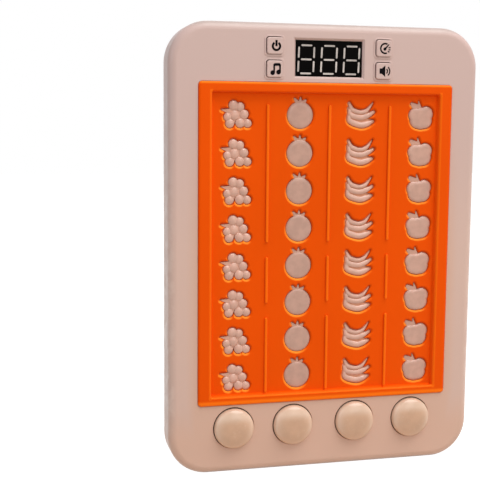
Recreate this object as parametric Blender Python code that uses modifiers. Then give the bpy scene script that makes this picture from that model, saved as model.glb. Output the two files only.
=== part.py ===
"""Handheld fruit reaction game: housing, lit fruit panel, play buttons, keys and inner works.

Built face up in a face frame (x right, y up the face, z out of the face) that is then stood upright, so that
the finished console stands on its bottom edge with its face towards -Y. Lengths are metres.
"""

import math

import bmesh
import bpy
from mathutils import Matrix

# Housing
HOUSING_WIDTH = 0.150
HOUSING_HEIGHT = 0.2092
OUTLINE_RADIUS = 0.0185
FACE_FILLET = 0.004
BACK_FILLET = 0.004
FRONT_DEPTH = 0.014
REAR_DEPTH = 0.012
REAR_TAPER = 0.0022
WALL = 0.0022
PARTING_GAP = 0.0003
LIP_HEIGHT = 0.0015
LIP_THICKNESS = 0.0013
LIP_ROOT = 0.0016
LIP_STEP = 0.0002
OUTLINE_SEGMENTS = 6
FILLET_SEGMENTS = 3

# Clearances and cutting
SEAT_GAP = 0.0003
RUNNING_GAP = 0.0003
OVERRUN = 0.001
WELD = 0.000001
FLAT_ANGLE = math.radians(0.5)
SMOOTH_ANGLE = math.radians(35)
FACING_SHARE = 0.99

# Game panel, placed by the white bands that the face leaves round it
PANEL_SIDE_BAND = 0.01345
DISPLAY_TOP_BAND = 0.00785
DISPLAY_PANEL_GAP = 0.00315
BUTTON_BOTTOM_BAND = 0.0120
BUTTON_PANEL_GAP = 0.0017
PANEL_CORNER = 0.0018
PANEL_PROUD = 0.0010
PANEL_EDGE = 0.0005
RIM_SIDE = 0.0063
RIM_TOP = 0.0048
RIM_BOTTOM = 0.0042
RECESS_DEPTH = 0.0028
FLOOR_THICKNESS = 0.0014
FLANGE_REACH = 0.0024
FLANGE_REACH_TOP = 0.0009
FLANGE_THICKNESS = 0.0014

# Fruit grid on the panel
ROWS = 8
LENS_GAP = 0.0003
LENS_SINK = 0.0010
LENS_BULGE = 0.0009
WEB_THICKNESS = 0.0009

# Divider ribs between the columns
RIB_WIDTH = 0.0012
RIB_HEIGHT = 0.0010

# Light baffle and main board
BAFFLE_THICKNESS = 0.0042
BOARD_THICKNESS = 0.0016
BOARD_BOSS_GAP = 0.0010
BOARD_END_MARGIN = 0.0061
BOARD_CORNER = 0.003
LED_WIDTH = 0.0035
LED_HEIGHT = 0.0028
LED_RISE = 0.0011
CHIP_SIDE = 0.0120
CHIP_RISE = 0.0016
CAPACITOR_RADIUS = 0.0030
CAPACITOR_RISE = 0.0070

# Display
DISPLAY_WIDTH = 0.0318
DISPLAY_HEIGHT = 0.0159
DISPLAY_SINK = 0.0010
DISPLAY_BEVEL = 0.0009
SEGMENT_DEPTH = 0.0003
SEGMENT_WIDTH = 0.0010
SEGMENT_CUT = 0.0007
DIGITS = 3

# Keys beside the display
KEY_SIDE = 0.0076
KEY_CORNER = 0.0012
KEY_EDGE = 0.0005
KEY_PROUD = 0.0011
KEY_DISPLAY_GAP = 0.0066
KEY_ROW_GAP = 0.0028
KEY_FLANGE_REACH = 0.0008
KEY_FLANGE_THICKNESS = 0.0008
KEY_TRAVEL = 0.0005
COLLAR_WIDTH = 0.0007
COLLAR_HEIGHT = 0.0004
SWITCH_SIDE = 0.0060
SWITCH_HEIGHT = 0.0035
PLUNGER_RADIUS = 0.0016
PLUNGER_RISE = 0.0007
PLUNGER_ROOT = 0.0013

# Play buttons
BUTTON_RADIUS = 0.0095
BUTTON_DOME = 0.0042
BUTTON_FLANGE_REACH = 0.0014
BUTTON_FLANGE_THICKNESS = 0.0011
BUTTON_WALL = 0.0014
BUTTON_STEM_RADIUS = 0.0024
BUTTON_STEM_ENGAGED = 0.0006
BUTTON_TRAVEL = 0.0020
BUTTON_SWITCH_SIDE = 0.0110
BUTTON_SWITCH_HEIGHT = 0.0034
GUIDE_WALL = 0.0011
GUIDE_DEPTH = 0.0042
BUTTON_STEPS = 16

# Screws
BOSS_RADIUS = 0.0032
SHANK_RADIUS = 0.0012
PILOT_DEPTH = 0.0080
HEAD_RADIUS = 0.0024
HEAD_HEIGHT = 0.0016
HEAD_SEAT = 0.0050
CORNER_SCREW_SIDE_INSET = 0.0088
CORNER_SCREW_END_INSET = 0.0146
SIDE_SCREW_INSET = 0.0077
BOARD_BOSS_RADIUS = 0.0026
BOARD_SCREW_SIDE_INSET = 0.0120
BOARD_SCREW_TOP_INSET = 0.0105
BOARD_SCREW_BOTTOM_INSET = 0.0040
BOARD_HEAD_HEIGHT = 0.0011
ROUND_STEPS = 8
SCREW_STEPS = 6
PLUNGER_STEPS = 10
CAPACITOR_STEPS = 10

# Battery bay, cells and door
CELL_RADIUS = 0.00525
CELL_LENGTH = 0.0445
NUB_RADIUS = 0.0019
NUB_HEIGHT = 0.0010
CELLS = 3
CELL_STEPS = 12
CELL_PITCH = 0.0110
CELL_MARGIN = 0.00165
BAY_WALL = 0.0016
CONTACT_THICKNESS = 0.0005
CONTACT_SIDE = 0.0080
SPRING_LENGTH = 0.0052
SPRING_WIDE = 0.0034
SPRING_NARROW = 0.0022
SPRING_WIRE = 0.00035
SPRING_TURNS = 2.5
SPRING_TURN_POINTS = 6
DOOR_THICKNESS = 0.0018
DOOR_LEDGE = 0.0020
LEDGE_THICKNESS = 0.0018
DOOR_FRAME_WALL = 0.0020
DOOR_CORNER = 0.0020
TONGUE_WIDTH = 0.0110
TONGUE_REACH = 0.0060
TONGUE_SCREW_INSET = 0.0032
DOOR_SCREW_ENGAGED = 0.0026
DOOR_HEAD_HEIGHT = 0.0008
TAB_WIDTH = 0.0060
TAB_THICKNESS = 0.0009
TAB_FOOT = 0.0007
TAB_FOOT_REACH = 0.0013
TAB_UNDERCUT = 0.0006
GRIP_WIDTH = 0.0140
GRIP_HEIGHT = 0.0008
GRIP_DEPTH = 0.0005
GRIP_PITCH = 0.0020
GRIPS = 4

# Speaker
SPEAKER_RADIUS = 0.0140
SPEAKER_FLANGE = 0.0012
SPEAKER_LEDGE = 0.0017
BASKET_RADIUS = 0.0080
BASKET_DEPTH = 0.0052
BASKET_WALL = 0.0007
BASKET_HOLE = 0.0050
MAGNET_RADIUS = 0.0075
MAGNET_HEIGHT = 0.0034
CONE_THROAT = 0.0040
CONE_DEPTH = 0.0032
CONE_THICKNESS = 0.0004
SPEAKER_RING_WALL = 0.0012
SPEAKER_RING_HEIGHT = 0.0040
GRILLE_SLOT_WIDTH = 0.0018
GRILLE_PITCH = 0.0040
GRILLE_RADIUS = 0.0110
GRILLE_REACH = 2
SPEAKER_STEPS = 16

# Leads inside the housing
LEAD_RADIUS = 0.0006
LEAD_POINTS = 7
LEAD_SPREAD = 0.0030
LEAD_SIDE = 0.0100

# Places along z, worked out from the sizes above
FACE_BACK = -WALL
PANEL_FRONT = PANEL_PROUD
FLOOR_TOP = PANEL_PROUD - RECESS_DEPTH
FLOOR_BOTTOM = FLOOR_TOP - FLOOR_THICKNESS
FLANGE_TOP = FACE_BACK - SEAT_GAP
WEB_TOP = FLOOR_BOTTOM - SEAT_GAP
WEB_BOTTOM = WEB_TOP - WEB_THICKNESS
PANEL_BACK = min(FLANGE_TOP - FLANGE_THICKNESS, WEB_BOTTOM)
LENS_TOP = FLOOR_TOP - LENS_SINK
BAFFLE_TOP = PANEL_BACK - SEAT_GAP
BAFFLE_BOTTOM = BAFFLE_TOP - BAFFLE_THICKNESS
BOARD_FRONT = BAFFLE_BOTTOM - SEAT_GAP
BOARD_BACK = BOARD_FRONT - BOARD_THICKNESS
PARTING_Z = -FRONT_DEPTH
REAR_FRONT = PARTING_Z - PARTING_GAP
BACK_Z = -(FRONT_DEPTH + REAR_DEPTH)
REAR_INNER = BACK_Z + WALL

# Shares of the housing, the recess, the pitches, the board and the display
BUTTON_INNER_X_SHARE = 0.10307
BUTTON_OUTER_X_SHARE = 0.29487
BAY_Y_SHARE = -0.1482
SPEAKER_Y_SHARE = 0.2294
ROW_PITCH_SHARE = 0.1244
FIRST_ROW_SHARE = 0.56
COLUMN_PITCH_SHARE = 0.2695
GRID_SHIFT_SHARE = 0.00905
FRUIT_ROW_SHARE = 0.7433
FRUIT_COLUMN_SHARE = 0.4366
STRIP_SHARE = 1.415
BAFFLE_CELL_WIDTH_SHARE = 0.759
BAFFLE_CELL_HEIGHT_SHARE = 0.858
RIB_TOP_MARGIN_SHARE = 0.0370
RIB_FIRST_SHARE = 0.4523
RIB_BREAK_SHARE = 0.0491
RIB_SECOND_SHARE = 0.1536
CAPACITOR_X_SHARE = 0.29
DIGIT_PITCH_SHARE = 0.346
DIGIT_WIDTH_SHARE = 0.2516
DIGIT_HEIGHT_SHARE = 0.868
TAB_SPACING_SHARE = 0.70
COLLAR_EDGE_SHARE = 0.75
CELL_SHOULDER_SHARE = 0.92
HEAD_CHAMFER_SHARE = 0.33
CONE_CAP_SHARE = 0.70
CONE_CAP_SINK_SHARE = 0.33
CONE_CAP_RISE_SHARE = 0.17

# Places on the face
DISPLAY_Y = HOUSING_HEIGHT / 2 - DISPLAY_TOP_BAND - DISPLAY_HEIGHT / 2
BUTTON_Y = -HOUSING_HEIGHT / 2 + BUTTON_BOTTOM_BAND + BUTTON_RADIUS
BUTTON_INNER_X = BUTTON_INNER_X_SHARE * HOUSING_WIDTH
BUTTON_OUTER_X = BUTTON_OUTER_X_SHARE * HOUSING_WIDTH
KEY_X = DISPLAY_WIDTH / 2 + KEY_DISPLAY_GAP + KEY_SIDE / 2
KEY_UPPER_Y = DISPLAY_Y + (KEY_SIDE + KEY_ROW_GAP) / 2
KEY_LOWER_Y = DISPLAY_Y - (KEY_SIDE + KEY_ROW_GAP) / 2
DIGIT_PITCH = DIGIT_PITCH_SHARE * DISPLAY_WIDTH
DIGIT_WIDTH = DIGIT_WIDTH_SHARE * DISPLAY_WIDTH
DIGIT_HEIGHT = DIGIT_HEIGHT_SHARE * DISPLAY_HEIGHT

# Places on the panel
PANEL_WIDTH = HOUSING_WIDTH - 2 * PANEL_SIDE_BAND
PANEL_TOP = DISPLAY_Y - DISPLAY_HEIGHT / 2 - DISPLAY_PANEL_GAP
PANEL_BOTTOM = BUTTON_Y + BUTTON_RADIUS + BUTTON_PANEL_GAP
RECESS_WIDTH = PANEL_WIDTH - 2 * RIM_SIDE
RECESS_TOP = PANEL_TOP - RIM_TOP
RECESS_BOTTOM = PANEL_BOTTOM + RIM_BOTTOM
RECESS_HEIGHT = RECESS_TOP - RECESS_BOTTOM
ROW_PITCH = ROW_PITCH_SHARE * RECESS_HEIGHT
COLUMN_PITCH = COLUMN_PITCH_SHARE * RECESS_WIDTH
GRID_SHIFT = GRID_SHIFT_SHARE * RECESS_WIDTH
FIRST_ROW_Y = RECESS_TOP - FIRST_ROW_SHARE * ROW_PITCH
FRUIT_SIZE = min(FRUIT_ROW_SHARE * ROW_PITCH, FRUIT_COLUMN_SHARE * COLUMN_PITCH)
STRIP_WIDTH = STRIP_SHARE * FRUIT_SIZE
BAFFLE_CELL_WIDTH = BAFFLE_CELL_WIDTH_SHARE * COLUMN_PITCH
BAFFLE_CELL_HEIGHT = BAFFLE_CELL_HEIGHT_SHARE * ROW_PITCH

# Places of the screws, the board and the speaker
CORNER_SCREW_X = HOUSING_WIDTH / 2 - CORNER_SCREW_SIDE_INSET
CORNER_SCREW_Y = HOUSING_HEIGHT / 2 - CORNER_SCREW_END_INSET
SIDE_SCREW_X = HOUSING_WIDTH / 2 - SIDE_SCREW_INSET
BOARD_HALF_WIDTH = CORNER_SCREW_X - BOSS_RADIUS - BOARD_BOSS_GAP
BOARD_HALF_HEIGHT = HOUSING_HEIGHT / 2 - BOARD_END_MARGIN
BOARD_SCREW_TOP_X = BOARD_HALF_WIDTH - BOARD_SCREW_SIDE_INSET
BOARD_SCREW_TOP_Y = BOARD_HALF_HEIGHT - BOARD_SCREW_TOP_INSET
BOARD_SCREW_BOTTOM_X = (BUTTON_INNER_X + BUTTON_OUTER_X) / 2
BOARD_SCREW_BOTTOM_Y = BOARD_SCREW_BOTTOM_INSET - BOARD_HALF_HEIGHT
SPEAKER_Y = SPEAKER_Y_SHARE * HOUSING_HEIGHT

# Places in the battery bay
BAY_Y = BAY_Y_SHARE * HOUSING_HEIGHT
BAY_HALF_HEIGHT = (CELLS - 1) / 2 * CELL_PITCH + CELL_RADIUS + CELL_MARGIN
BAY_LENGTH = CELL_LENGTH + 4 * SEAT_GAP + CONTACT_THICKNESS + SPRING_LENGTH
BAY_HALF_LENGTH = BAY_LENGTH / 2
TAB_SPACING = TAB_SPACING_SHARE * BAY_LENGTH
DOOR_INNER = BACK_Z + DOOR_THICKNESS
RABBET_Z = DOOR_INNER + SEAT_GAP
LEDGE_Z = RABBET_Z + LEDGE_THICKNESS
CELL_Z = RABBET_Z + CELL_RADIUS + SEAT_GAP
BAY_FLOOR_Z = CELL_Z + CELL_RADIUS + SEAT_GAP
DOOR_HALF_WIDTH = BAY_HALF_LENGTH + DOOR_LEDGE - RUNNING_GAP
DOOR_HALF_HEIGHT = BAY_HALF_HEIGHT + DOOR_LEDGE - RUNNING_GAP
DOOR_BOTTOM = BAY_Y - DOOR_HALF_HEIGHT
DOOR_TOP = BAY_Y + DOOR_HALF_HEIGHT
DOOR_SCREW_Y = DOOR_TOP + TONGUE_REACH - TONGUE_SCREW_INSET
PILOT_RADIUS = SHANK_RADIUS + RUNNING_GAP

# A play button's crown as shares of its radius and of its dome height
BUTTON_CROWN_SHARES = ((0.0, 1.0), (0.50, 0.95), (0.84, 0.70), (1.0, 0.10))

# Fruit shapes as shares of FRUIT_SIZE: (x, y, radius) of each round, and (x, y, radius) along each stroke
GRAPE_BERRY_SHARES = (
    (-0.085, 0.305, 0.190),
    (0.150, 0.255, 0.176),
    (-0.050, -0.035, 0.190),
    (0.300, -0.005, 0.180),
    (-0.295, -0.100, 0.160),
    (-0.215, -0.325, 0.177),
    (0.155, -0.310, 0.184),
    (0.425, -0.320, 0.168),
)
GRAPE_STEM_SHARES = ((-0.500, 0.140, 0.048), (-0.200, 0.120, 0.085))
POMEGRANATE_SHARES = ((0.060, -0.015, 0.490),)
POMEGRANATE_CROWN_SHARES = (
    ((0.010, 0.400, 0.090), (-0.150, 0.560, 0.046)),
    ((0.060, 0.420, 0.085), (0.070, 0.600, 0.042)),
    ((0.120, 0.400, 0.090), (0.265, 0.515, 0.046)),
)
BANANA_UPPER_SHARES = (
    (-0.385, 0.420, 0.075),
    (-0.265, 0.205, 0.105),
    (0.050, 0.110, 0.100),
    (0.310, 0.200, 0.090),
    (0.510, 0.455, 0.042),
)
BANANA_MIDDLE_SHARES = (
    (-0.385, 0.230, 0.090),
    (-0.300, 0.010, 0.125),
    (0.050, -0.075, 0.120),
    (0.320, -0.010, 0.115),
    (0.545, 0.120, 0.080),
)
BANANA_LOWER_SHARES = (
    (-0.385, 0.000, 0.090),
    (-0.335, -0.210, 0.130),
    (0.050, -0.345, 0.130),
    (0.310, -0.300, 0.125),
    (0.515, -0.210, 0.080),
)
BANANA_SHARES = (BANANA_UPPER_SHARES, BANANA_MIDDLE_SHARES, BANANA_LOWER_SHARES)
APPLE_SHARES = (
    (-0.105, 0.020, 0.288),
    (0.300, 0.070, 0.292),
    (-0.030, -0.160, 0.310),
    (0.240, -0.165, 0.315),
    (0.097, -0.090, 0.408),
)
APPLE_STEM_SHARES = (((0.100, 0.300, 0.040), (0.000, 0.520, 0.040)),)
APPLE_LEAF_SHARES = (((-0.040, 0.350, 0.085), (-0.250, 0.415, 0.085)),)
BANANA_GROOVE_SHARES = (
    ((-0.300, 0.330), (-0.100, 0.120), (0.085, 0.045), (0.270, 0.095), (0.420, 0.250)),
    ((-0.300, 0.110), (-0.100, -0.080), (0.105, -0.150), (0.300, -0.125), (0.450, -0.060)),
)

# Where the rays that find each fruit's outline start, as shares of FRUIT_SIZE
GRAPE_MIDDLE_SHARES = (0.03, -0.08)
POMEGRANATE_MIDDLE_SHARES = (0.06, 0.10)
BANANA_MIDDLE_POINT_SHARES = (0.00, -0.10)
APPLE_MIDDLE_SHARES = (0.09, -0.05)
STROKE_STEPS = 4
OUTLINE_RAYS = 180
OUTLINE_ALLOWANCE = 0.00028
GROOVE_WIDTH = 0.0006
GROOVED_SHARE = 0.7
BERRY_STEPS = 6
BERRY_SHARE = 0.66
PILLOW_STEPS = 8
PILLOW_SHARE = 0.86
CROWN_SHARE = 0.55


def clear_scene():
    for obj in list(bpy.data.objects):
        bpy.data.objects.remove(obj, do_unlink=True)


def make_collection(name):
    collection = bpy.data.collections.new(name)
    bpy.context.scene.collection.children.link(collection)
    return collection


def make_material(name, color, roughness, metallic=0.0):
    material = bpy.data.materials.new(name)
    material.use_nodes = True
    shader = material.node_tree.nodes["Principled BSDF"]
    shader.inputs["Base Color"].default_value = (*color, 1.0)
    shader.inputs["Roughness"].default_value = roughness
    shader.inputs["Metallic"].default_value = metallic
    material.diffuse_color = (*color, 1.0)
    return material


clear_scene()
PARTS = make_collection("FruitReactionGame")
CUTTERS = make_collection("Cutters")
CUTTERS.hide_render = True

SHELL_WHITE = make_material("shell_white", (0.72, 0.60, 0.55), 0.38)
PANEL_ORANGE = make_material("panel_orange", (0.86, 0.12, 0.01), 0.36)
LENS_WHITE = make_material("lens_white", (0.66, 0.50, 0.44), 0.42)
BUTTON_CREAM = make_material("button_cream", (0.70, 0.52, 0.38), 0.28)
DISPLAY_BLACK = make_material("display_black", (0.008, 0.008, 0.010), 0.22)
BAFFLE_WHITE = make_material("baffle_white", (0.78, 0.78, 0.76), 0.55)
BOARD_GREEN = make_material("board_green", (0.02, 0.16, 0.06), 0.45)
SWITCH_BLACK = make_material("switch_black", (0.02, 0.02, 0.022), 0.5)
STEEL = make_material("steel", (0.56, 0.57, 0.58), 0.3, 1.0)
SPEAKER_BLACK = make_material("speaker_black", (0.015, 0.015, 0.016), 0.6)
MAGNET_GREY = make_material("magnet_grey", (0.25, 0.25, 0.26), 0.4, 1.0)
CELL_GREY = make_material("cell_wrap", (0.10, 0.12, 0.14), 0.35)
LEAD_RED = make_material("lead_red", (0.55, 0.02, 0.02), 0.5)
LEAD_BLACK = make_material("lead_black", (0.02, 0.02, 0.02), 0.5)

FRONT_REACH = max(BUTTON_DOME, PANEL_FRONT)
FACE_FRAME = bpy.data.objects.new("face_frame", None)
FACE_FRAME.rotation_euler = (math.radians(90), 0, 0)
FACE_FRAME.location = (0, (FRONT_REACH + BACK_Z) / 2, HOUSING_HEIGHT / 2)
PARTS.objects.link(FACE_FRAME)


def place(name, mesh, collection, location=(0, 0, 0)):
    obj = bpy.data.objects.new(name, mesh)
    collection.objects.link(obj)
    obj.parent = FACE_FRAME
    obj.location = location
    return obj


def finish_mesh(bm, name):
    mesh = bpy.data.meshes.new(name)
    bm.to_mesh(mesh)
    bm.free()
    return mesh


def part(name, bm, material, location=(0, 0, 0)):
    obj = place(name, finish_mesh(bm, name), PARTS, location)
    obj.data.materials.append(material)
    obj.data.shade_smooth()
    obj.data.set_sharp_from_angle(angle=SMOOTH_ANGLE)
    return obj


def helper(name, bm, location=(0, 0, 0)):
    obj = place(name, finish_mesh(bm, name), CUTTERS, location)
    obj.hide_render = True
    obj.display_type = "WIRE"
    return obj


def boolean(target, tool, operation, crossing=False):
    modifier = target.modifiers.new(f"{operation.lower()}_{tool.name}", "BOOLEAN")
    modifier.object = tool
    modifier.operation = operation
    modifier.solver = "EXACT"
    modifier.use_self = crossing


def cut(target, tool, crossing=False):
    """Cuts a tool out of a target, whose own shapes may cross each other."""
    boolean(target, tool, "DIFFERENCE", crossing)


def join(target, tool):
    boolean(target, tool, "UNION")


def merge_flats(target):
    """Joins the coplanar faces that the cuts leave in pieces."""
    modifier = target.modifiers.new("flats", "DECIMATE")
    modifier.decimate_type = "DISSOLVE"
    modifier.angle_limit = FLAT_ANGLE


def add_box(bm, low, high):
    made = bmesh.ops.create_cube(bm, size=1)["verts"]
    size = [b - a for a, b in zip(low, high)]
    middle = [(a + b) / 2 for a, b in zip(low, high)]
    bmesh.ops.scale(bm, vec=size, verts=made)
    bmesh.ops.translate(bm, vec=middle, verts=made)


def add_cylinder(bm, radius, x, y, low, high, steps=ROUND_STEPS, top_radius=None):
    made = bmesh.ops.create_cone(
        bm,
        cap_ends=True,
        segments=steps,
        radius1=radius,
        radius2=radius if top_radius is None else top_radius,
        depth=high - low,
    )["verts"]
    bmesh.ops.translate(bm, vec=(x, y, (low + high) / 2), verts=made)


def boxes(*spans):
    bm = bmesh.new()
    for low, high in spans:
        add_box(bm, low, high)
    return bm


def cylinders(places, radius, low, high, steps=ROUND_STEPS):
    bm = bmesh.new()
    for x, y in places:
        add_cylinder(bm, radius, x, y, low, high, steps)
    return bm


def upright_edges(bm):
    return [e for e in bm.edges if abs(e.verts[0].co.z - e.verts[1].co.z) > WELD]


def level_edges(bm, z):
    return [e for e in bm.edges if all(abs(v.co.z - z) < WELD for v in e.verts)]


def bevel(bm, edges, width, segments):
    bmesh.ops.bevel(
        bm,
        geom=edges,
        offset=width,
        offset_type="OFFSET",
        segments=segments,
        profile=0.5,
        affect="EDGES",
        clamp_overlap=False,
    )


def slab(half_width, bottom, top, low, high, corner, segments=3):
    """A rectangular block with rounded upright corners."""
    bm = boxes(((-half_width, bottom, low), (half_width, top, high)))
    if corner > 0:
        bevel(bm, upright_edges(bm), corner, segments)
    return bm


def slab_at(x, y, half_width, half_height, low, high, corner, segments=3):
    bm = slab(half_width, -half_height, half_height, low, high, corner, segments)
    bmesh.ops.translate(bm, vec=(x, y, 0), verts=bm.verts)
    return bm


def merged(*meshes):
    """Several separate shapes as one mesh."""
    bm = bmesh.new()
    for part_bm in meshes:
        held = finish_mesh(part_bm, "held")
        bm.from_mesh(held)
        bpy.data.meshes.remove(held)
    return bm


def turned(name, profile, material, steps, location=(0, 0, 0), axis="Z"):
    """A profile of (radius, height) points, turned about its own axis. One that starts off it is a loop."""
    mesh = bpy.data.meshes.new(name)
    closed = profile[0][0] > 0
    points = [(r, 0, z) for r, z in profile]
    count = len(points)
    edges = [(i, (i + 1) % count) for i in range(count if closed else count - 1)]
    mesh.from_pydata(points, edges, [])
    obj = place(name, mesh, PARTS, location)
    mesh.materials.append(material)
    screw = obj.modifiers.new("turn", "SCREW")
    screw.axis = "Z"
    screw.steps = steps
    screw.render_steps = steps
    screw.use_merge_vertices = True
    screw.merge_threshold = WELD
    screw.use_smooth_shade = True
    if axis == "X":
        obj.rotation_euler = (0, math.radians(90), 0)
    if axis == "-X":
        obj.rotation_euler = (0, math.radians(-90), 0)
    return obj


def mesh_of(obj):
    """The evaluated mesh of an object in the face frame, welded. The object itself goes."""
    bpy.context.view_layer.update()
    graph = bpy.context.evaluated_depsgraph_get()
    mesh = bpy.data.meshes.new_from_object(obj.evaluated_get(graph))
    bm = bmesh.new()
    bm.from_mesh(mesh)
    bmesh.ops.remove_doubles(bm, verts=bm.verts, dist=WELD)
    bm.transform(obj.matrix_local)
    bpy.data.meshes.remove(mesh)
    bpy.data.objects.remove(obj, do_unlink=True)
    return bm


def prism(name, outlines, low, high):
    """Flat outlines filled and given a thickness between two heights."""
    curve = bpy.data.curves.new(name, "CURVE")
    curve.dimensions = "2D"
    curve.fill_mode = "BOTH"
    curve.extrude = (high - low) / 2
    for outline in outlines:
        spline = curve.splines.new("POLY")
        spline.points.add(len(outline) - 1)
        for point, (x, y) in zip(spline.points, outline):
            point.co = (x, y, 0, 1)
        spline.use_cyclic_u = True
    obj = bpy.data.objects.new(name, curve)
    CUTTERS.objects.link(obj)
    obj.location = (0, 0, (low + high) / 2)
    bm = mesh_of(obj)
    bmesh.ops.dissolve_limit(bm, angle_limit=FLAT_ANGLE, verts=bm.verts, edges=bm.edges)
    return bm


def column_x(column):
    return GRID_SHIFT + (column - 1.5) * COLUMN_PITCH


def row_y(row):
    return FIRST_ROW_Y - row * ROW_PITCH


def along(stroke):
    """Rounds spaced along a stroke that runs smoothly through its own points."""
    rounds = []
    last = len(stroke) - 1
    for i in range(last):
        before = stroke[max(i - 1, 0)]
        start, end = stroke[i], stroke[i + 1]
        after = stroke[min(i + 2, last)]
        for k in range(STROKE_STEPS):
            rounds.append(between(before, start, end, after, k / STROKE_STEPS))
    rounds.append(stroke[last])
    return rounds


def between(before, start, end, after, t):
    """A point of the smooth run from start to end, with its neighbours on both sides (Catmull-Rom)."""
    point = []
    for a, b, c, d in zip(before, start, end, after):
        slope = (c - a) / 2
        bend = (2 * a - 5 * b + 4 * c - d) / 2
        twist = (3 * b - a - 3 * c + d) / 2
        point.append(b + t * (slope + t * (bend + t * twist)))
    return tuple(point)


def reach(rounds, origin, angle):
    """How far a ray from the origin runs before it leaves the last round."""
    dx, dy = math.cos(angle), math.sin(angle)
    far = 0
    for x, y, radius in rounds:
        px, py = x - origin[0], y - origin[1]
        middle = px * dx + py * dy
        aside = abs(px * dy - py * dx)
        if aside < radius and middle + radius > 0:
            far = max(far, middle + math.sqrt(radius * radius - aside * aside))
    return far


def thinned(points, allowance):
    """The points of a run that keep it within an allowance of its full course."""
    (ax, ay), (bx, by) = points[0], points[-1]
    span = math.hypot(bx - ax, by - ay)
    offs = [abs((bx - ax) * (ay - y) - (ax - x) * (by - ay)) / span for x, y in points]
    far = offs.index(max(offs))
    if offs[far] < allowance:
        return [points[0], points[-1]]
    return thinned(points[: far + 1], allowance)[:-1] + thinned(points[far:], allowance)


def seen_from(origin, shares, inset, angles):
    """Where rays from a point leave a cluster of rounds that has been shrunk by an inset."""
    rounds = [(x * FRUIT_SIZE, y * FRUIT_SIZE, r * FRUIT_SIZE - inset) for x, y, r in shares]
    points = []
    for angle in angles:
        far = reach(rounds, origin, angle)
        points.append((origin[0] + far * math.cos(angle), origin[1] + far * math.sin(angle)))
    return points


def outline_of(shares, origin_share, inset):
    """The outline round a cluster of rounds. Every inset keeps the same few rays, so that it stays inside."""
    origin = [share * FRUIT_SIZE for share in origin_share]
    angles = [2 * math.pi * i / OUTLINE_RAYS for i in range(OUTLINE_RAYS + 1)]
    full = seen_from(origin, shares, 0, angles)
    half = OUTLINE_RAYS // 2
    kept = thinned(full[: half + 1], OUTLINE_ALLOWANCE)[:-1] + thinned(full[half:], OUTLINE_ALLOWANCE)[:-1]
    return seen_from(origin, shares, inset, [angles[full.index(point)] for point in kept])


def fruit_outline(fruit, inset):
    if fruit == "grape":
        shares = list(GRAPE_BERRY_SHARES) + along(GRAPE_STEM_SHARES)
        return outline_of(shares, GRAPE_MIDDLE_SHARES, inset)
    if fruit == "pomegranate":
        shares = list(POMEGRANATE_SHARES)
        for spike in POMEGRANATE_CROWN_SHARES:
            shares += along(spike)
        return outline_of(shares, POMEGRANATE_MIDDLE_SHARES, inset)
    if fruit == "banana":
        shares = []
        for banana in BANANA_SHARES:
            shares += along(banana)
        return outline_of(shares, BANANA_MIDDLE_POINT_SHARES, inset)
    shares = list(APPLE_SHARES)
    for stroke in APPLE_STEM_SHARES + APPLE_LEAF_SHARES:
        shares += along(stroke)
    return outline_of(shares, APPLE_MIDDLE_SHARES, inset)


FRUITS = ("grape", "pomegranate", "banana", "apple")


def shifted(outline, x, y):
    return [(px + x, py + y) for px, py in outline]


def pillow(share, foot_share, steps):
    """A low round relief that rises from inside the lens to a smaller flat crown."""
    x, y, radius = (value * FRUIT_SIZE for value in share)
    foot = foot_share * radius
    bm = bmesh.new()
    add_cylinder(bm, foot, x, y, LENS_TOP - LENS_SINK, LENS_TOP + LENS_BULGE, steps, CROWN_SHARE * foot)
    return bm


def lens_reliefs(fruit):
    """The relief of a lens: raised berries, grooves between the bananas, or one broad pillow."""
    if fruit == "grape":
        return [pillow(share, BERRY_SHARE, BERRY_STEPS) for share in GRAPE_BERRY_SHARES]
    if fruit == "banana":
        return [groove(run) for run in BANANA_GROOVE_SHARES]
    widest = POMEGRANATE_SHARES[0] if fruit == "pomegranate" else APPLE_SHARES[-1]
    return [pillow(widest, PILLOW_SHARE, PILLOW_STEPS)]


def groove(run):
    """A narrow channel between two bananas."""
    half = GROOVE_WIDTH / 2
    middle = [(x * FRUIT_SIZE, y * FRUIT_SIZE) for x, y in run]
    outline = [(x, y - half) for x, y in middle] + [(x, y + half) for x, y in reversed(middle)]
    return prism("groove", [outline], LENS_TOP, LENS_TOP + 2 * LENS_BULGE)


def single_lens(fruit):
    """One fruit lens: its outline through the panel with the relief on top."""
    grooved = fruit == "banana"
    top = LENS_TOP + GROOVED_SHARE * LENS_BULGE if grooved else LENS_TOP
    outline = prism("lens_outline", [fruit_outline(fruit, LENS_GAP)], WEB_TOP - WEB_THICKNESS / 2, top)
    body = helper(f"lens_{fruit}", outline)
    reliefs = [helper(f"relief_{fruit}_{i}", bm) for i, bm in enumerate(lens_reliefs(fruit))]
    for relief in reliefs:
        if grooved:
            cut(body, relief)
        else:
            join(body, relief)
    made = mesh_of(body)
    for relief in reliefs:
        bpy.data.objects.remove(relief, do_unlink=True)
    return made


def make_lens_strip(column, fruit):
    x = column_x(column)
    web = slab(STRIP_WIDTH / 2, RECESS_BOTTOM + SEAT_GAP, RECESS_TOP - SEAT_GAP, WEB_BOTTOM, WEB_TOP, 0)
    bmesh.ops.translate(web, vec=(x, 0, 0), verts=web.verts)
    strip = part(f"lens_strip_{fruit}", web, LENS_WHITE)
    lens = finish_mesh(single_lens(fruit), f"lens_{fruit}_one")
    bm = bmesh.new()
    for row in range(ROWS):
        known = set(bm.verts)
        bm.from_mesh(lens)
        fresh = [v for v in bm.verts if v not in known]
        bmesh.ops.translate(bm, vec=(x, row_y(row), 0), verts=fresh)
    bpy.data.meshes.remove(lens)
    join(strip, helper(f"lenses_{fruit}", bm))
    merge_flats(strip)


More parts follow.
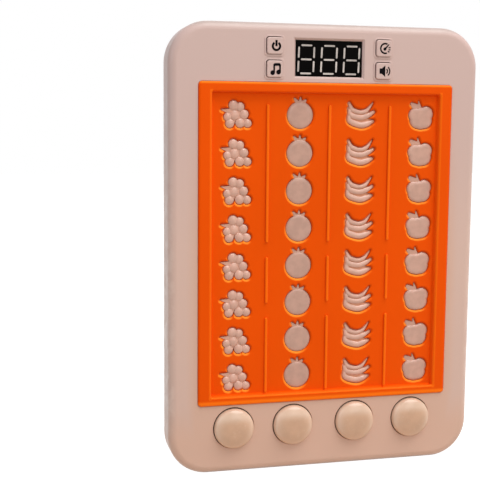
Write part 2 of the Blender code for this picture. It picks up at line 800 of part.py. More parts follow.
def make_game_panel():
    """The orange panel: raised rim, sunken floor, divider ribs and a fruit-shaped hole over each lamp."""
    half = PANEL_WIDTH / 2
    bm = slab(half, PANEL_BOTTOM, PANEL_TOP, PANEL_BACK, PANEL_FRONT, PANEL_CORNER)
    bevel(bm, level_edges(bm, PANEL_FRONT), PANEL_EDGE, 1)
    panel = part("game_panel", bm, PANEL_ORANGE)
    reach_top = PANEL_TOP + FLANGE_REACH_TOP
    flange = slab(half + FLANGE_REACH, RECESS_BOTTOM, reach_top, PANEL_BACK, FLANGE_TOP, 0)
    join(panel, helper("panel_flange", flange))
    recess = slab(RECESS_WIDTH / 2, RECESS_BOTTOM, RECESS_TOP, FLOOR_TOP, PANEL_FRONT + OVERRUN, 0)
    cut(panel, helper("panel_recess", recess))
    tray = slab(RECESS_WIDTH / 2, RECESS_BOTTOM, RECESS_TOP, PANEL_BACK - OVERRUN, FLOOR_BOTTOM, 0)
    cut(panel, helper("lens_tray", tray))
    join(panel, helper("divider_ribs", divider_ribs()))
    for column, fruit in enumerate(FRUITS):
        outline = fruit_outline(fruit, 0)
        outlines = [shifted(outline, column_x(column), row_y(row)) for row in range(ROWS)]
        holes = prism(f"holes_{fruit}", outlines, FLOOR_BOTTOM - OVERRUN, FLOOR_TOP + OVERRUN)
        cut(panel, helper(f"fruit_holes_{fruit}", holes))
    merge_flats(panel)


def divider_ribs():
    """Three broken ribs between the columns; the lowest run joins the rim."""
    bm = bmesh.new()
    rib_break = RIB_BREAK_SHARE * RECESS_HEIGHT
    first_top = RECESS_TOP - RIB_TOP_MARGIN_SHARE * RECESS_HEIGHT
    first_bottom = first_top - RIB_FIRST_SHARE * RECESS_HEIGHT
    second_top = first_bottom - rib_break
    second_bottom = second_top - RIB_SECOND_SHARE * RECESS_HEIGHT
    third_top = second_bottom - rib_break
    third_bottom = RECESS_BOTTOM - RIM_BOTTOM / 2
    runs = ((first_bottom, first_top), (second_bottom, second_top), (third_bottom, third_top))
    for gap in range(len(FRUITS) - 1):
        x = (column_x(gap) + column_x(gap + 1)) / 2
        for bottom, top in runs:
            low = (x - RIB_WIDTH / 2, bottom, FLOOR_TOP - FLOOR_THICKNESS / 2)
            add_box(bm, low, (x + RIB_WIDTH / 2, top, FLOOR_TOP + RIB_HEIGHT))
    return bm


def case_screw_places():
    corners = [(sx * CORNER_SCREW_X, sy * CORNER_SCREW_Y) for sy in (1, -1) for sx in (-1, 1)]
    return corners + [(-SIDE_SCREW_X, 0), (SIDE_SCREW_X, 0)]


def board_screw_places():
    upper = [(sx * BOARD_SCREW_TOP_X, BOARD_SCREW_TOP_Y) for sx in (-1, 1)]
    return upper + [(sx * BOARD_SCREW_BOTTOM_X, BOARD_SCREW_BOTTOM_Y) for sx in (-1, 1)]


def button_places():
    return [(x, BUTTON_Y) for x in (-BUTTON_OUTER_X, -BUTTON_INNER_X, BUTTON_INNER_X, BUTTON_OUTER_X)]


KEY_PLACES = {
    "power": (-KEY_X, KEY_UPPER_Y),
    "music": (-KEY_X, KEY_LOWER_Y),
    "speed": (KEY_X, KEY_UPPER_Y),
    "sound": (KEY_X, KEY_LOWER_Y),
}


def make_front_housing():
    """The white shell: a moulded tray with soft edges, pierced for the panel, display, keys and buttons."""
    end = HOUSING_HEIGHT / 2
    bm = slab(HOUSING_WIDTH / 2, -end, end, PARTING_Z, 0, OUTLINE_RADIUS, OUTLINE_SEGMENTS)
    bevel(bm, level_edges(bm, 0), FACE_FILLET, FILLET_SEGMENTS)
    bmesh.ops.delete(bm, geom=[f for f in bm.faces if f.normal.z < -FACING_SHARE], context="FACES_ONLY")
    housing = part("front_housing", bm, SHELL_WHITE)
    shell = housing.modifiers.new("wall", "SOLIDIFY")
    shell.thickness = WALL
    shell.offset = -1
    shell.use_even_offset = True

    boss_top = FACE_BACK + WALL / 2
    join(housing, helper("case_bosses", cylinders(case_screw_places(), BOSS_RADIUS, PARTING_Z, boss_top)))
    board_bosses = cylinders(board_screw_places(), BOARD_BOSS_RADIUS, BOARD_FRONT + SEAT_GAP, boss_top)
    join(housing, helper("board_bosses", board_bosses))
    guide_outer = BUTTON_RADIUS + BUTTON_FLANGE_REACH + RUNNING_GAP + GUIDE_WALL
    guide_low = FACE_BACK - GUIDE_DEPTH
    guide_walls = cylinders(button_places(), guide_outer, guide_low, boss_top, BUTTON_STEPS)
    guides = helper("button_guides", guide_walls)
    clear_of = PANEL_BOTTOM - SEAT_GAP
    clip = slab(HOUSING_WIDTH / 2, clear_of, PANEL_TOP, guide_low - OVERRUN, 0, 0)
    cut(guides, helper("guide_clip", clip), crossing=True)
    join(housing, guides)
    collars = merged(*[collar(x, y) for x, y in KEY_PLACES.values()])
    join(housing, helper("key_collars", collars))

    half = PANEL_WIDTH / 2 + SEAT_GAP
    opening_top = PANEL_TOP + SEAT_GAP
    opening = slab(half, clear_of, opening_top, FACE_BACK - OVERRUN, OVERRUN, PANEL_CORNER + SEAT_GAP)
    cut(housing, helper("panel_opening", opening))
    cut(housing, helper("display_opening", display_opening()))
    key_half = KEY_SIDE / 2 + RUNNING_GAP
    key_corner = KEY_CORNER + RUNNING_GAP
    hole_top = COLLAR_HEIGHT + OVERRUN
    key_holes = [
        slab_at(x, y, key_half, key_half, FACE_BACK - OVERRUN, hole_top, key_corner, 1)
        for x, y in KEY_PLACES.values()
    ]
    cut(housing, helper("key_holes", merged(*key_holes)))
    bore = BUTTON_RADIUS + RUNNING_GAP
    bores = cylinders(button_places(), bore, FACE_BACK - OVERRUN, OVERRUN, BUTTON_STEPS)
    cut(housing, helper("button_bores", bores))
    well = BUTTON_RADIUS + BUTTON_FLANGE_REACH + RUNNING_GAP
    wells = cylinders(button_places(), well, FACE_BACK - GUIDE_DEPTH - OVERRUN, FACE_BACK, BUTTON_STEPS)
    cut(housing, helper("button_wells", wells))
    pilots = cylinders(case_screw_places(), PILOT_RADIUS, PARTING_Z - OVERRUN, PARTING_Z + PILOT_DEPTH)
    cut(housing, helper("case_pilots", pilots))
    board_pilots = cylinders(board_screw_places(), PILOT_RADIUS, BOARD_FRONT - OVERRUN, FACE_BACK - WALL / 2)
    cut(housing, helper("board_pilots", board_pilots))
    merge_flats(housing)


def collar(x, y):
    """A low raised frame with a bevelled edge round one key."""
    half = KEY_SIDE / 2 + RUNNING_GAP + COLLAR_WIDTH
    bm = slab_at(x, y, half, half, -WALL / 2, COLLAR_HEIGHT, KEY_CORNER + COLLAR_WIDTH, 1)
    bevel(bm, level_edges(bm, COLLAR_HEIGHT), COLLAR_EDGE_SHARE * COLLAR_HEIGHT, 1)
    return bm


def display_opening():
    """A through hole with a bevelled lead-in at the face."""
    half_width = DISPLAY_WIDTH / 2 + SEAT_GAP
    half_height = DISPLAY_HEIGHT / 2 + SEAT_GAP
    bm = slab_at(0, DISPLAY_Y, half_width, half_height, FACE_BACK - OVERRUN, 0, 0)
    rim = [v for v in bm.verts if v.co.z > -WELD]
    bmesh.ops.translate(bm, vec=(0, 0, -DISPLAY_SINK), verts=rim)
    top = [f for f in bm.faces if f.normal.z > FACING_SHARE]
    raised = bmesh.ops.extrude_face_region(bm, geom=top)["geom"]
    verts = [v for v in raised if isinstance(v, bmesh.types.BMVert)]
    bmesh.ops.delete(bm, geom=top, context="FACES_ONLY")
    run = DISPLAY_SINK + OVERRUN
    spread = DISPLAY_BEVEL * run / DISPLAY_SINK
    for vert in verts:
        vert.co.z += run
        vert.co.x += math.copysign(spread, vert.co.x)
        vert.co.y += math.copysign(spread, vert.co.y - DISPLAY_Y)
    bmesh.ops.recalc_face_normals(bm, faces=bm.faces)
    return bm


def make_rear_housing():
    """The orange tray: tapered sides, a tongue inside the white shell, posts, bay, door seat and grille."""
    half = HOUSING_WIDTH / 2
    bottom, top = -HOUSING_HEIGHT / 2, HOUSING_HEIGHT / 2
    bm = slab(half, bottom, top, BACK_Z, REAR_FRONT + OVERRUN, OUTLINE_RADIUS, OUTLINE_SEGMENTS)
    for vert in bm.verts:
        if vert.co.z < (BACK_Z + REAR_FRONT) / 2:
            vert.co.y -= REAR_TAPER * (vert.co.y - bottom) / HOUSING_HEIGHT
            vert.co.x -= REAR_TAPER * vert.co.x / half
    bevel(bm, level_edges(bm, BACK_Z), BACK_FILLET, FILLET_SEGMENTS)
    bmesh.ops.delete(bm, geom=[f for f in bm.faces if f.normal.z > FACING_SHARE], context="FACES_ONLY")
    housing = part("rear_housing", bm, PANEL_ORANGE)
    shell = housing.modifiers.new("wall", "SOLIDIFY")
    shell.thickness = WALL
    shell.offset = -1
    shell.use_even_offset = True

    trim = boxes(((-HOUSING_WIDTH, -HOUSING_HEIGHT, REAR_FRONT), (HOUSING_WIDTH, HOUSING_HEIGHT, 0)))
    cut(housing, helper("rim_trim", trim))
    inset = WALL + SEAT_GAP
    tongue_low = REAR_FRONT - LIP_ROOT / 2
    join(housing, edge_ring("tongue", inset, LIP_THICKNESS, tongue_low, PARTING_Z + LIP_HEIGHT))
    root_inset = WALL / 2
    root_wall = inset + LIP_THICKNESS + LIP_STEP - root_inset
    root_low = REAR_FRONT - LIP_ROOT
    join(housing, edge_ring("tongue_root", root_inset, root_wall, root_low, REAR_FRONT - LIP_STEP))
    posts = cylinders(case_screw_places(), BOSS_RADIUS, BACK_Z + WALL / 2, REAR_FRONT)
    join(housing, helper("case_posts", posts))
    join(housing, helper("door_seat", door_seat()))
    join(housing, helper("bay_block", bay_block()))
    post_top = RABBET_Z + DOOR_SCREW_ENGAGED + WALL
    door_post = cylinders([(0, DOOR_SCREW_Y)], BOSS_RADIUS, BACK_Z + WALL / 2, post_top)
    join(housing, helper("door_post", door_post))
    ring_outer = SPEAKER_RADIUS + SEAT_GAP + SPEAKER_RING_WALL
    ring_top = REAR_INNER + SPEAKER_RING_HEIGHT
    speaker_ring = cylinders([(0, SPEAKER_Y)], ring_outer, REAR_INNER - WALL / 2, ring_top, SPEAKER_STEPS)
    join(housing, helper("speaker_ring", speaker_ring))

    ring_inner = SPEAKER_RADIUS + SEAT_GAP
    speaker_well = cylinders([(0, SPEAKER_Y)], ring_inner, REAR_INNER, ring_top + OVERRUN, SPEAKER_STEPS)
    cut(housing, helper("speaker_well", speaker_well))
    cut(housing, helper("grille_slots", grille_slots()))
    cut(housing, helper("bay_hollow", bay_hollow()))
    cut(housing, helper("door_rabbet", door_outline(RUNNING_GAP, BACK_Z - OVERRUN, RABBET_Z)))
    cut(housing, helper("tab_slots", tab_slots()))
    pilot_top = RABBET_Z + DOOR_SCREW_ENGAGED + WALL / 2
    door_pilot = cylinders([(0, DOOR_SCREW_Y)], PILOT_RADIUS, BACK_Z, pilot_top)
    cut(housing, helper("door_pilot", door_pilot))
    shank = cylinders(case_screw_places(), PILOT_RADIUS, BACK_Z, REAR_FRONT + OVERRUN)
    cut(housing, helper("post_holes", shank))
    head_bore = HEAD_RADIUS + RUNNING_GAP
    counterbores = cylinders(case_screw_places(), head_bore, BACK_Z - OVERRUN, BACK_Z + HEAD_SEAT)
    cut(housing, helper("counterbores", counterbores))
    merge_flats(housing)


def edge_ring(name, inset, wall, low, high):
    """A frame that follows the housing's outline at an inset."""
    block = helper(name, edge_block(inset, low, high))
    core = edge_block(inset + wall, low - OVERRUN, high + OVERRUN)
    cut(block, helper(f"{name}_core", core))
    return block


def edge_block(inset, low, high):
    half_width, half_height = HOUSING_WIDTH / 2 - inset, HOUSING_HEIGHT / 2 - inset
    return slab(half_width, -half_height, half_height, low, high, OUTLINE_RADIUS - inset, OUTLINE_SEGMENTS)


def bay_block():
    """The walls and the roof of the battery bay."""
    side = BAY_HALF_LENGTH + BAY_WALL
    return slab_at(0, BAY_Y, side, BAY_HALF_HEIGHT + BAY_WALL, BACK_Z + WALL / 2, BAY_FLOOR_Z + BAY_WALL, 0)


def bay_hollow():
    return slab_at(0, BAY_Y, BAY_HALF_LENGTH, BAY_HALF_HEIGHT, BACK_Z - OVERRUN, BAY_FLOOR_Z, 0)


def door_outline(grow, low, high):
    """The door's outline with its screw tongue, grown by a clearance."""
    corner = DOOR_CORNER + grow
    half_width = DOOR_HALF_WIDTH + grow
    half_tongue = TONGUE_WIDTH / 2 + grow
    top, bottom = DOOR_TOP + grow, DOOR_BOTTOM - grow
    tongue_top = DOOR_TOP + TONGUE_REACH + grow
    outline = []
    outline += arc(half_width - corner, bottom + corner, corner, -90, 0)
    outline += arc(half_width - corner, top - corner, corner, 0, 90)
    outline += [(half_tongue, top)]
    outline += arc(half_tongue - corner, tongue_top - corner, corner, 0, 90)
    outline += arc(-half_tongue + corner, tongue_top - corner, corner, 90, 180)
    outline += [(-half_tongue, top)]
    outline += arc(-half_width + corner, top - corner, corner, 90, 180)
    outline += arc(-half_width + corner, bottom + corner, corner, 180, 270)
    return prism("door_shape", [outline], low, high)


def arc(x, y, radius, start, end, steps=3):
    turns = [math.radians(start + (end - start) * i / steps) for i in range(steps + 1)]
    return [(x + radius * math.cos(a), y + radius * math.sin(a)) for a in turns]


def door_seat():
    """A thickened border inside the rear wall, so that the rabbet leaves a ledge."""
    grow = RUNNING_GAP + DOOR_FRAME_WALL
    return door_outline(grow, BACK_Z + WALL / 2, LEDGE_Z)


def tab_places():
    return (-TAB_SPACING / 2, TAB_SPACING / 2)


def tab_slots():
    """Slots in the bay's lower wall that the door's two tabs hook through."""
    bm = bmesh.new()
    for x in tab_places():
        half = TAB_WIDTH / 2 + RUNNING_GAP
        slot_top = LEDGE_Z + TAB_UNDERCUT + TAB_FOOT + 2 * RUNNING_GAP
        low = (x - half, BAY_Y - BAY_HALF_HEIGHT - BAY_WALL - OVERRUN, LEDGE_Z)
        add_box(bm, low, (x + half, BAY_Y - BAY_HALF_HEIGHT + OVERRUN, slot_top))
    return bm


def grille_slots():
    """Level slots that fill a circle round the speaker's axis."""
    bm = bmesh.new()
    for i in range(-GRILLE_REACH, GRILLE_REACH + 1):
        rise = i * GRILLE_PITCH
        half = math.sqrt(GRILLE_RADIUS**2 - rise**2)
        y = SPEAKER_Y + rise
        low = (-half, y - GRILLE_SLOT_WIDTH / 2, BACK_Z - OVERRUN)
        add_box(bm, low, (half, y + GRILLE_SLOT_WIDTH / 2, REAR_INNER + OVERRUN))
    return bm


def make_light_baffle():
    """An egg-crate frame that keeps each lamp's light under its own fruit."""
    half = 2 * COLUMN_PITCH
    bottom = RECESS_BOTTOM - RIM_BOTTOM / 2
    top = RECESS_TOP + RIM_TOP / 2
    bm = slab(half, bottom, top, BAFFLE_BOTTOM, BAFFLE_TOP, PANEL_CORNER, 2)
    baffle = part("light_baffle", bm, BAFFLE_WHITE)
    cells = bmesh.new()
    for column in range(len(FRUITS)):
        for row in range(ROWS):
            x, y = column_x(column), row_y(row)
            low = (x - BAFFLE_CELL_WIDTH / 2, y - BAFFLE_CELL_HEIGHT / 2, BAFFLE_BOTTOM - OVERRUN)
            high = (x + BAFFLE_CELL_WIDTH / 2, y + BAFFLE_CELL_HEIGHT / 2, BAFFLE_TOP + OVERRUN)
            add_box(cells, low, high)
    cut(baffle, helper("baffle_cells", cells))


def make_main_board():
    end = BOARD_HALF_HEIGHT
    bm = slab(BOARD_HALF_WIDTH, -end, end, BOARD_BACK, BOARD_FRONT, BOARD_CORNER, 2)
    board = part("main_board", bm, BOARD_GREEN)
    lamps = bmesh.new()
    for column in range(len(FRUITS)):
        for row in range(ROWS):
            x, y = column_x(column), row_y(row)
            low = (x - LED_WIDTH / 2, y - LED_HEIGHT / 2, BOARD_FRONT - BOARD_THICKNESS / 2)
            add_box(lamps, low, (x + LED_WIDTH / 2, y + LED_HEIGHT / 2, BOARD_FRONT + LED_RISE))
    join(board, helper("lamps", lamps))
    chip_y = (DOOR_SCREW_Y + SPEAKER_Y - SPEAKER_RADIUS) / 2
    side = CHIP_SIDE / 2
    root = BOARD_BACK + BOARD_THICKNESS / 2
    parts = boxes(((-side, chip_y - side, BOARD_BACK - CHIP_RISE), (side, chip_y + side, root)))
    capacitor_x = CAPACITOR_X_SHARE * 2 * BOARD_HALF_WIDTH
    capacitor_low = BOARD_BACK - CAPACITOR_RISE
    add_cylinder(parts, CAPACITOR_RADIUS, capacitor_x, chip_y, capacitor_low, root, CAPACITOR_STEPS)
    join(board, helper("board_parts", parts))
    holes = cylinders(board_screw_places(), PILOT_RADIUS, BOARD_BACK - OVERRUN, BOARD_FRONT + OVERRUN)
    cut(board, helper("board_holes", holes))


def make_display():
    low = BOARD_FRONT + SEAT_GAP
    bm = slab_at(0, DISPLAY_Y, DISPLAY_WIDTH / 2, DISPLAY_HEIGHT / 2, low, -DISPLAY_SINK, 0)
    display = part("display_module", bm, DISPLAY_BLACK)
    cut(display, helper("digit_segments", digit_segments()))


def digit_segments():
    """Seven shallow bars for each figure, pointed at the ends so that they never meet."""
    outlines = []
    middle = (DIGITS - 1) / 2
    bar = DIGIT_WIDTH / 2 - SEGMENT_WIDTH / 2
    rise = DIGIT_HEIGHT / 2 - SEGMENT_WIDTH / 2
    for digit in range(DIGITS):
        x = (digit - middle) * DIGIT_PITCH
        for y in (-rise, 0, rise):
            outlines.append(bar_outline(x, DISPLAY_Y + y, bar, True))
        for side in (-bar, bar):
            for y in (-rise / 2, rise / 2):
                outlines.append(bar_outline(x + side, DISPLAY_Y + y, rise / 2, False))
    return prism("segment_shape", outlines, -DISPLAY_SINK - SEGMENT_DEPTH, -DISPLAY_SINK + OVERRUN)


def bar_outline(x, y, half_length, level):
    end = half_length - SEGMENT_CUT
    half = SEGMENT_WIDTH / 2
    points = [(-end, -half), (end, -half), (end, half), (-end, half)]
    return [(x + a, y + b) if level else (x - b, y + a) for a, b in points]


def make_key(name, x, y):
    half = KEY_SIDE / 2
    flange_top = FACE_BACK - SEAT_GAP
    flange_low = flange_top - KEY_FLANGE_THICKNESS
    plunger_top = BOARD_FRONT + SEAT_GAP + SWITCH_HEIGHT + PLUNGER_RISE
    bm = slab_at(0, 0, half, half, flange_low, KEY_PROUD, KEY_CORNER, 1)
    bevel(bm, level_edges(bm, KEY_PROUD), KEY_EDGE, 1)
    key = part(f"key_{name}", bm, SHELL_WHITE, (x, y, 0))
    reach_half = half + KEY_FLANGE_REACH
    flange = slab_at(0, 0, reach_half, reach_half, flange_low, flange_top, KEY_CORNER, 1)
    join(key, helper(f"key_{name}_flange", flange, (x, y, 0)))
    stem = cylinders([(0, 0)], PLUNGER_RADIUS, plunger_top + SEAT_GAP, FACE_BACK)
    join(key, helper(f"key_{name}_stem", stem, (x, y, 0)))


def make_key_switch(name, x, y):
    low = BOARD_FRONT + SEAT_GAP
    top = low + SWITCH_HEIGHT
    half = SWITCH_SIDE / 2
    block = slab_at(0, 0, half, half, low, top, 0)
    switch = part(f"key_switch_{name}", block, SWITCH_BLACK, (x, y, 0))
    root = top - PLUNGER_ROOT
    bore_low = root - KEY_TRAVEL - RUNNING_GAP
    bore = cylinders([(0, 0)], PLUNGER_RADIUS + RUNNING_GAP, bore_low, top + OVERRUN, PLUNGER_STEPS)
    cut(switch, helper(f"switch_{name}_bore", bore, (x, y, 0)))
    plunger = cylinders([(0, 0)], PLUNGER_RADIUS, root, top + PLUNGER_RISE, PLUNGER_STEPS)
    part(f"key_plunger_{name}", plunger, BUTTON_CREAM, (x, y, 0))


def make_play_button(number, x, y):
    """A domed cap: crown, skirt, retaining flange and a stem that enters its switch."""
    top = BUTTON_DOME
    flange_top = FACE_BACK - SEAT_GAP
    flange_low = flange_top - BUTTON_FLANGE_THICKNESS
    stem_low = BOARD_FRONT + SEAT_GAP + BUTTON_SWITCH_HEIGHT - BUTTON_STEM_ENGAGED
    crown = [(radius * BUTTON_RADIUS, height * top) for radius, height in BUTTON_CROWN_SHARES]
    hollow = BUTTON_RADIUS - BUTTON_WALL
    profile = crown + [
        (BUTTON_RADIUS, flange_top),
        (BUTTON_RADIUS + BUTTON_FLANGE_REACH, flange_top),
        (BUTTON_RADIUS + BUTTON_FLANGE_REACH, flange_low),
        (hollow, flange_low),
        (hollow, 0),
        (BUTTON_STEM_RADIUS, 0),
        (BUTTON_STEM_RADIUS, stem_low),
        (0, stem_low),
    ]
    turned(f"play_button_{number}", profile, BUTTON_CREAM, BUTTON_STEPS, (x, y, 0))


def make_button_switch(number, x, y):
    """The push switch on the board that a play button's stem works in."""
    low = BOARD_FRONT + SEAT_GAP
    top = low + BUTTON_SWITCH_HEIGHT
    half = BUTTON_SWITCH_SIDE / 2
    name = f"button_switch_{number}"
    switch = part(name, slab_at(0, 0, half, half, low, top, 0), SWITCH_BLACK, (x, y, 0))
    bore_low = top - BUTTON_STEM_ENGAGED - BUTTON_TRAVEL - RUNNING_GAP
    bore = cylinders([(0, 0)], BUTTON_STEM_RADIUS + RUNNING_GAP, bore_low, top + OVERRUN, BUTTON_STEPS)
    cut(switch, helper(f"{name}_bore", bore, (x, y, 0)))


def make_screw(name, x, y, head_low, head_height, tip):
    """A pan-head screw that points out of the face, with its head at the low end."""
    shoulder = head_low + head_height
    chamfer = HEAD_CHAMFER_SHARE * head_height
    profile = [
        (0, tip),
        (SHANK_RADIUS, tip),
        (SHANK_RADIUS, shoulder),
        (HEAD_RADIUS, shoulder),
        (HEAD_RADIUS, head_low + chamfer),
        (HEAD_RADIUS - chamfer, head_low),
        (0, head_low),
    ]
    turned(name, profile, STEEL, SCREW_STEPS, (x, y, 0))


def make_battery_door():
    hinge = (0, DOOR_BOTTOM, BACK_Z)
    bm = door_outline(0, BACK_Z, DOOR_INNER)
    bmesh.ops.translate(bm, vec=[-c for c in hinge], verts=bm.verts)
    door = part("battery_door", bm, PANEL_ORANGE, hinge)
    join(door, helper("door_tabs", door_tabs()))
    grips = bmesh.new()
    for i in range(GRIPS):
        y = DOOR_TOP - (i + 2) * GRIP_PITCH
        low = (-GRIP_WIDTH / 2, y - GRIP_HEIGHT / 2, BACK_Z - OVERRUN)
        add_box(grips, low, (GRIP_WIDTH / 2, y + GRIP_HEIGHT / 2, BACK_Z + GRIP_DEPTH))
    cut(door, helper("door_grips", grips))
    head_floor = BACK_Z + DOOR_HEAD_HEIGHT + SEAT_GAP + RUNNING_GAP / 2
    screw_place = [(0, DOOR_SCREW_Y)]
    counterbore = cylinders(screw_place, HEAD_RADIUS + RUNNING_GAP, BACK_Z - OVERRUN, head_floor)
    cut(door, helper("door_counterbore", counterbore))
    hole = cylinders(screw_place, PILOT_RADIUS, BACK_Z, DOOR_INNER + OVERRUN)
    cut(door, helper("door_hole", hole))
    head_low = head_floor - SEAT_GAP - DOOR_HEAD_HEIGHT
    tip = RABBET_Z + DOOR_SCREW_ENGAGED
    make_screw("door_screw", 0, DOOR_SCREW_Y, head_low, DOOR_HEAD_HEIGHT, tip)


def door_tabs():
    """Two hooked tabs: each leg rises inside the bay and its foot passes under the ledge."""
    bm = bmesh.new()
    inner = BAY_Y - BAY_HALF_HEIGHT + RUNNING_GAP
    foot_low = LEDGE_Z + TAB_UNDERCUT
    foot_high = foot_low + TAB_FOOT
    for x in tab_places():
        half = TAB_WIDTH / 2
        hook = [
            (inner, DOOR_INNER - DOOR_THICKNESS / 2),
            (inner + TAB_THICKNESS, DOOR_INNER - DOOR_THICKNESS / 2),
            (inner + TAB_THICKNESS, foot_high),
            (inner - TAB_FOOT_REACH, foot_high),
            (inner - TAB_FOOT_REACH, foot_low),
            (inner, foot_low),
        ]
        shape = prism("tab_shape", [hook], -half, half)
        shape.transform(Matrix(((0, 0, 1, x), (1, 0, 0, 0), (0, 1, 0, 0), (0, 0, 0, 1))))
        held = finish_mesh(shape, "held")
        bm.from_mesh(held)
        bpy.data.meshes.remove(held)
    return bm


def cell_side(number):
    """Neighbouring cells lie head to tail."""
    return 1 if number % 2 == 0 else -1


def make_cells():
    for number in range(CELLS):
        y = BAY_Y + (number - (CELLS - 1) / 2) * CELL_PITCH
        side = cell_side(number)
        plus_end = side * (BAY_HALF_LENGTH - SEAT_GAP - CONTACT_THICKNESS - SEAT_GAP)
        middle = plus_end - side * CELL_LENGTH / 2
        half = CELL_LENGTH / 2
        shoulder = half - NUB_HEIGHT
        edge = CELL_SHOULDER_SHARE * CELL_RADIUS
        profile = [
            (0, half),
            (NUB_RADIUS, half),
            (NUB_RADIUS, shoulder),
            (edge, shoulder),
            (CELL_RADIUS, shoulder - (CELL_RADIUS - edge)),
            (CELL_RADIUS, -half),
            (0, -half),
        ]
        axis = "X" if side > 0 else "-X"
        cell_place = (middle, y, CELL_Z)
        turned(f"battery_cell_{number + 1}", profile, CELL_GREY, CELL_STEPS, cell_place, axis)
        plate_x = side * (BAY_HALF_LENGTH - SEAT_GAP - CONTACT_THICKNESS / 2)
        half_side = CONTACT_SIDE / 2
        plate = boxes(
            (
                (plate_x - CONTACT_THICKNESS / 2, y - half_side, CELL_Z - half_side),
                (plate_x + CONTACT_THICKNESS / 2, y + half_side, CELL_Z + half_side),
            )
        )
        part(f"contact_plate_{number + 1}", plate, STEEL)
        wall_x = -side * (BAY_HALF_LENGTH - SEAT_GAP)
        make_contact_spring(number, wall_x, y, side)


def make_contact_spring(number, wall_x, y, side):
    """A conical coil, wide on the wall and narrow on the cell."""
    count = round(SPRING_TURNS * SPRING_TURN_POINTS)
    run = SPRING_LENGTH - 2 * SPRING_WIRE
    points = []
    for i in range(count + 1):
        share = i / count
        angle = 2 * math.pi * SPRING_TURNS * share
        radius = SPRING_WIDE + (SPRING_NARROW - SPRING_WIDE) * share
        x = wall_x + side * (SPRING_WIRE + run * share)
        points.append((x, y + radius * math.cos(angle), CELL_Z + radius * math.sin(angle)))
    make_tube(f"contact_spring_{number + 1}", points, SPRING_WIRE, STEEL)


def make_tube(name, points, radius, material):
    curve = bpy.data.curves.new(name, "CURVE")
    curve.dimensions = "3D"
    curve.bevel_depth = radius
    curve.bevel_resolution = 1
    curve.use_fill_caps = True
    spline = curve.splines.new("POLY")
    spline.points.add(len(points) - 1)
    for point, place_at in zip(spline.points, points):
        point.co = (*place_at, 1)
    curve.materials.append(material)
    obj = bpy.data.objects.new(name, curve)
    PARTS.objects.link(obj)
    obj.parent = FACE_FRAME
    return obj


def make_speaker():
    """A small loudspeaker face down on the grille: basket, cone and magnet."""
    low = REAR_INNER + SEAT_GAP
    flange_top = low + SPEAKER_FLANGE
    ledge = SPEAKER_RADIUS - SPEAKER_LEDGE
    deep = flange_top + BASKET_DEPTH
    basket = [
        (SPEAKER_RADIUS, flange_top),
        (SPEAKER_RADIUS, low),
        (ledge, low),
        (ledge, flange_top - BASKET_WALL),
        (BASKET_RADIUS - BASKET_WALL, deep - BASKET_WALL),
        (BASKET_HOLE, deep - BASKET_WALL),
        (BASKET_HOLE, deep),
        (BASKET_RADIUS, deep),
        (ledge, flange_top),
    ]
    turned("speaker_frame", basket, SPEAKER_BLACK, SPEAKER_STEPS, (0, SPEAKER_Y, 0))
    magnet_low = deep + SEAT_GAP
    magnet = bmesh.new()
    add_cylinder(magnet, MAGNET_RADIUS, 0, 0, magnet_low, magnet_low + MAGNET_HEIGHT, SPEAKER_STEPS)
    part("speaker_magnet", magnet, MAGNET_GREY, (0, SPEAKER_Y, 0))
    edge = ledge - SEAT_GAP
    throat_z = low + CONE_DEPTH
    cap_radius = CONE_CAP_SHARE * CONE_THROAT
    cap_z = throat_z - CONE_CAP_SINK_SHARE * CONE_DEPTH
    cap_rim = cap_z + CONE_CAP_RISE_SHARE * CONE_DEPTH
    cone = [
        (0, cap_z + CONE_THICKNESS),
        (cap_radius, cap_rim + CONE_THICKNESS),
        (CONE_THROAT, throat_z + CONE_THICKNESS),
        (edge, low + CONE_THICKNESS),
        (edge, low),
        (CONE_THROAT, throat_z),
        (cap_radius, cap_rim),
        (0, cap_z),
    ]
    turned("speaker_cone", cone, SWITCH_BLACK, SPEAKER_STEPS, (0, SPEAKER_Y, 0))
    return deep


def smooth_run(points):
    """Points at even steps along a smooth line through the given ones."""
    last = len(points) - 1
    run = []
    for i in range(LEAD_POINTS):
        place_along = i * last / (LEAD_POINTS - 1)
        k = min(int(place_along), last - 1)
        before, after = points[max(k - 1, 0)], points[min(k + 2, last)]
        run.append(between(before, points[k], points[k + 1], after, place_along - k))
    return run


def make_leads(basket_z):
    """Two leads from the bay to the board, and two from the speaker to the board."""
    bay_end = BAY_HALF_LENGTH + BAY_WALL + SEAT_GAP
    board_end = BOARD_BACK - SEAT_GAP
    middle_z = (board_end + CELL_Z) / 2
    for number, sign in enumerate((-1, 1)):
        y = BAY_Y + sign * CELL_PITCH
        x = bay_end + LEAD_SIDE
        route = [
            (bay_end, y, CELL_Z),
            (bay_end + LEAD_SIDE / 2, y, CELL_Z),
            (x, y + LEAD_SPREAD, middle_z),
            (x, y + LEAD_SPREAD + LEAD_RADIUS, board_end),
        ]
        material = LEAD_BLACK if number == 0 else LEAD_RED
        make_tube(f"battery_lead_{number + 1}", smooth_run(route), LEAD_RADIUS, material)
    for number, sign in enumerate((-1, 1)):
        start_x = sign * (BASKET_RADIUS + SEAT_GAP)
        start_z = basket_z + SEAT_GAP + LEAD_RADIUS
        x = sign * (SPEAKER_RADIUS + LEAD_SIDE / 2)
        route = [
            (start_x, SPEAKER_Y, start_z),
            (start_x + sign * LEAD_SPREAD, SPEAKER_Y, start_z),
            (x, SPEAKER_Y + LEAD_SPREAD, (start_z + board_end) / 2),
            (x, SPEAKER_Y + LEAD_SPREAD + LEAD_RADIUS, board_end),
        ]
        material = LEAD_BLACK if number == 0 else LEAD_RED
        make_tube(f"speaker_lead_{number + 1}", smooth_run(route), LEAD_RADIUS, material)


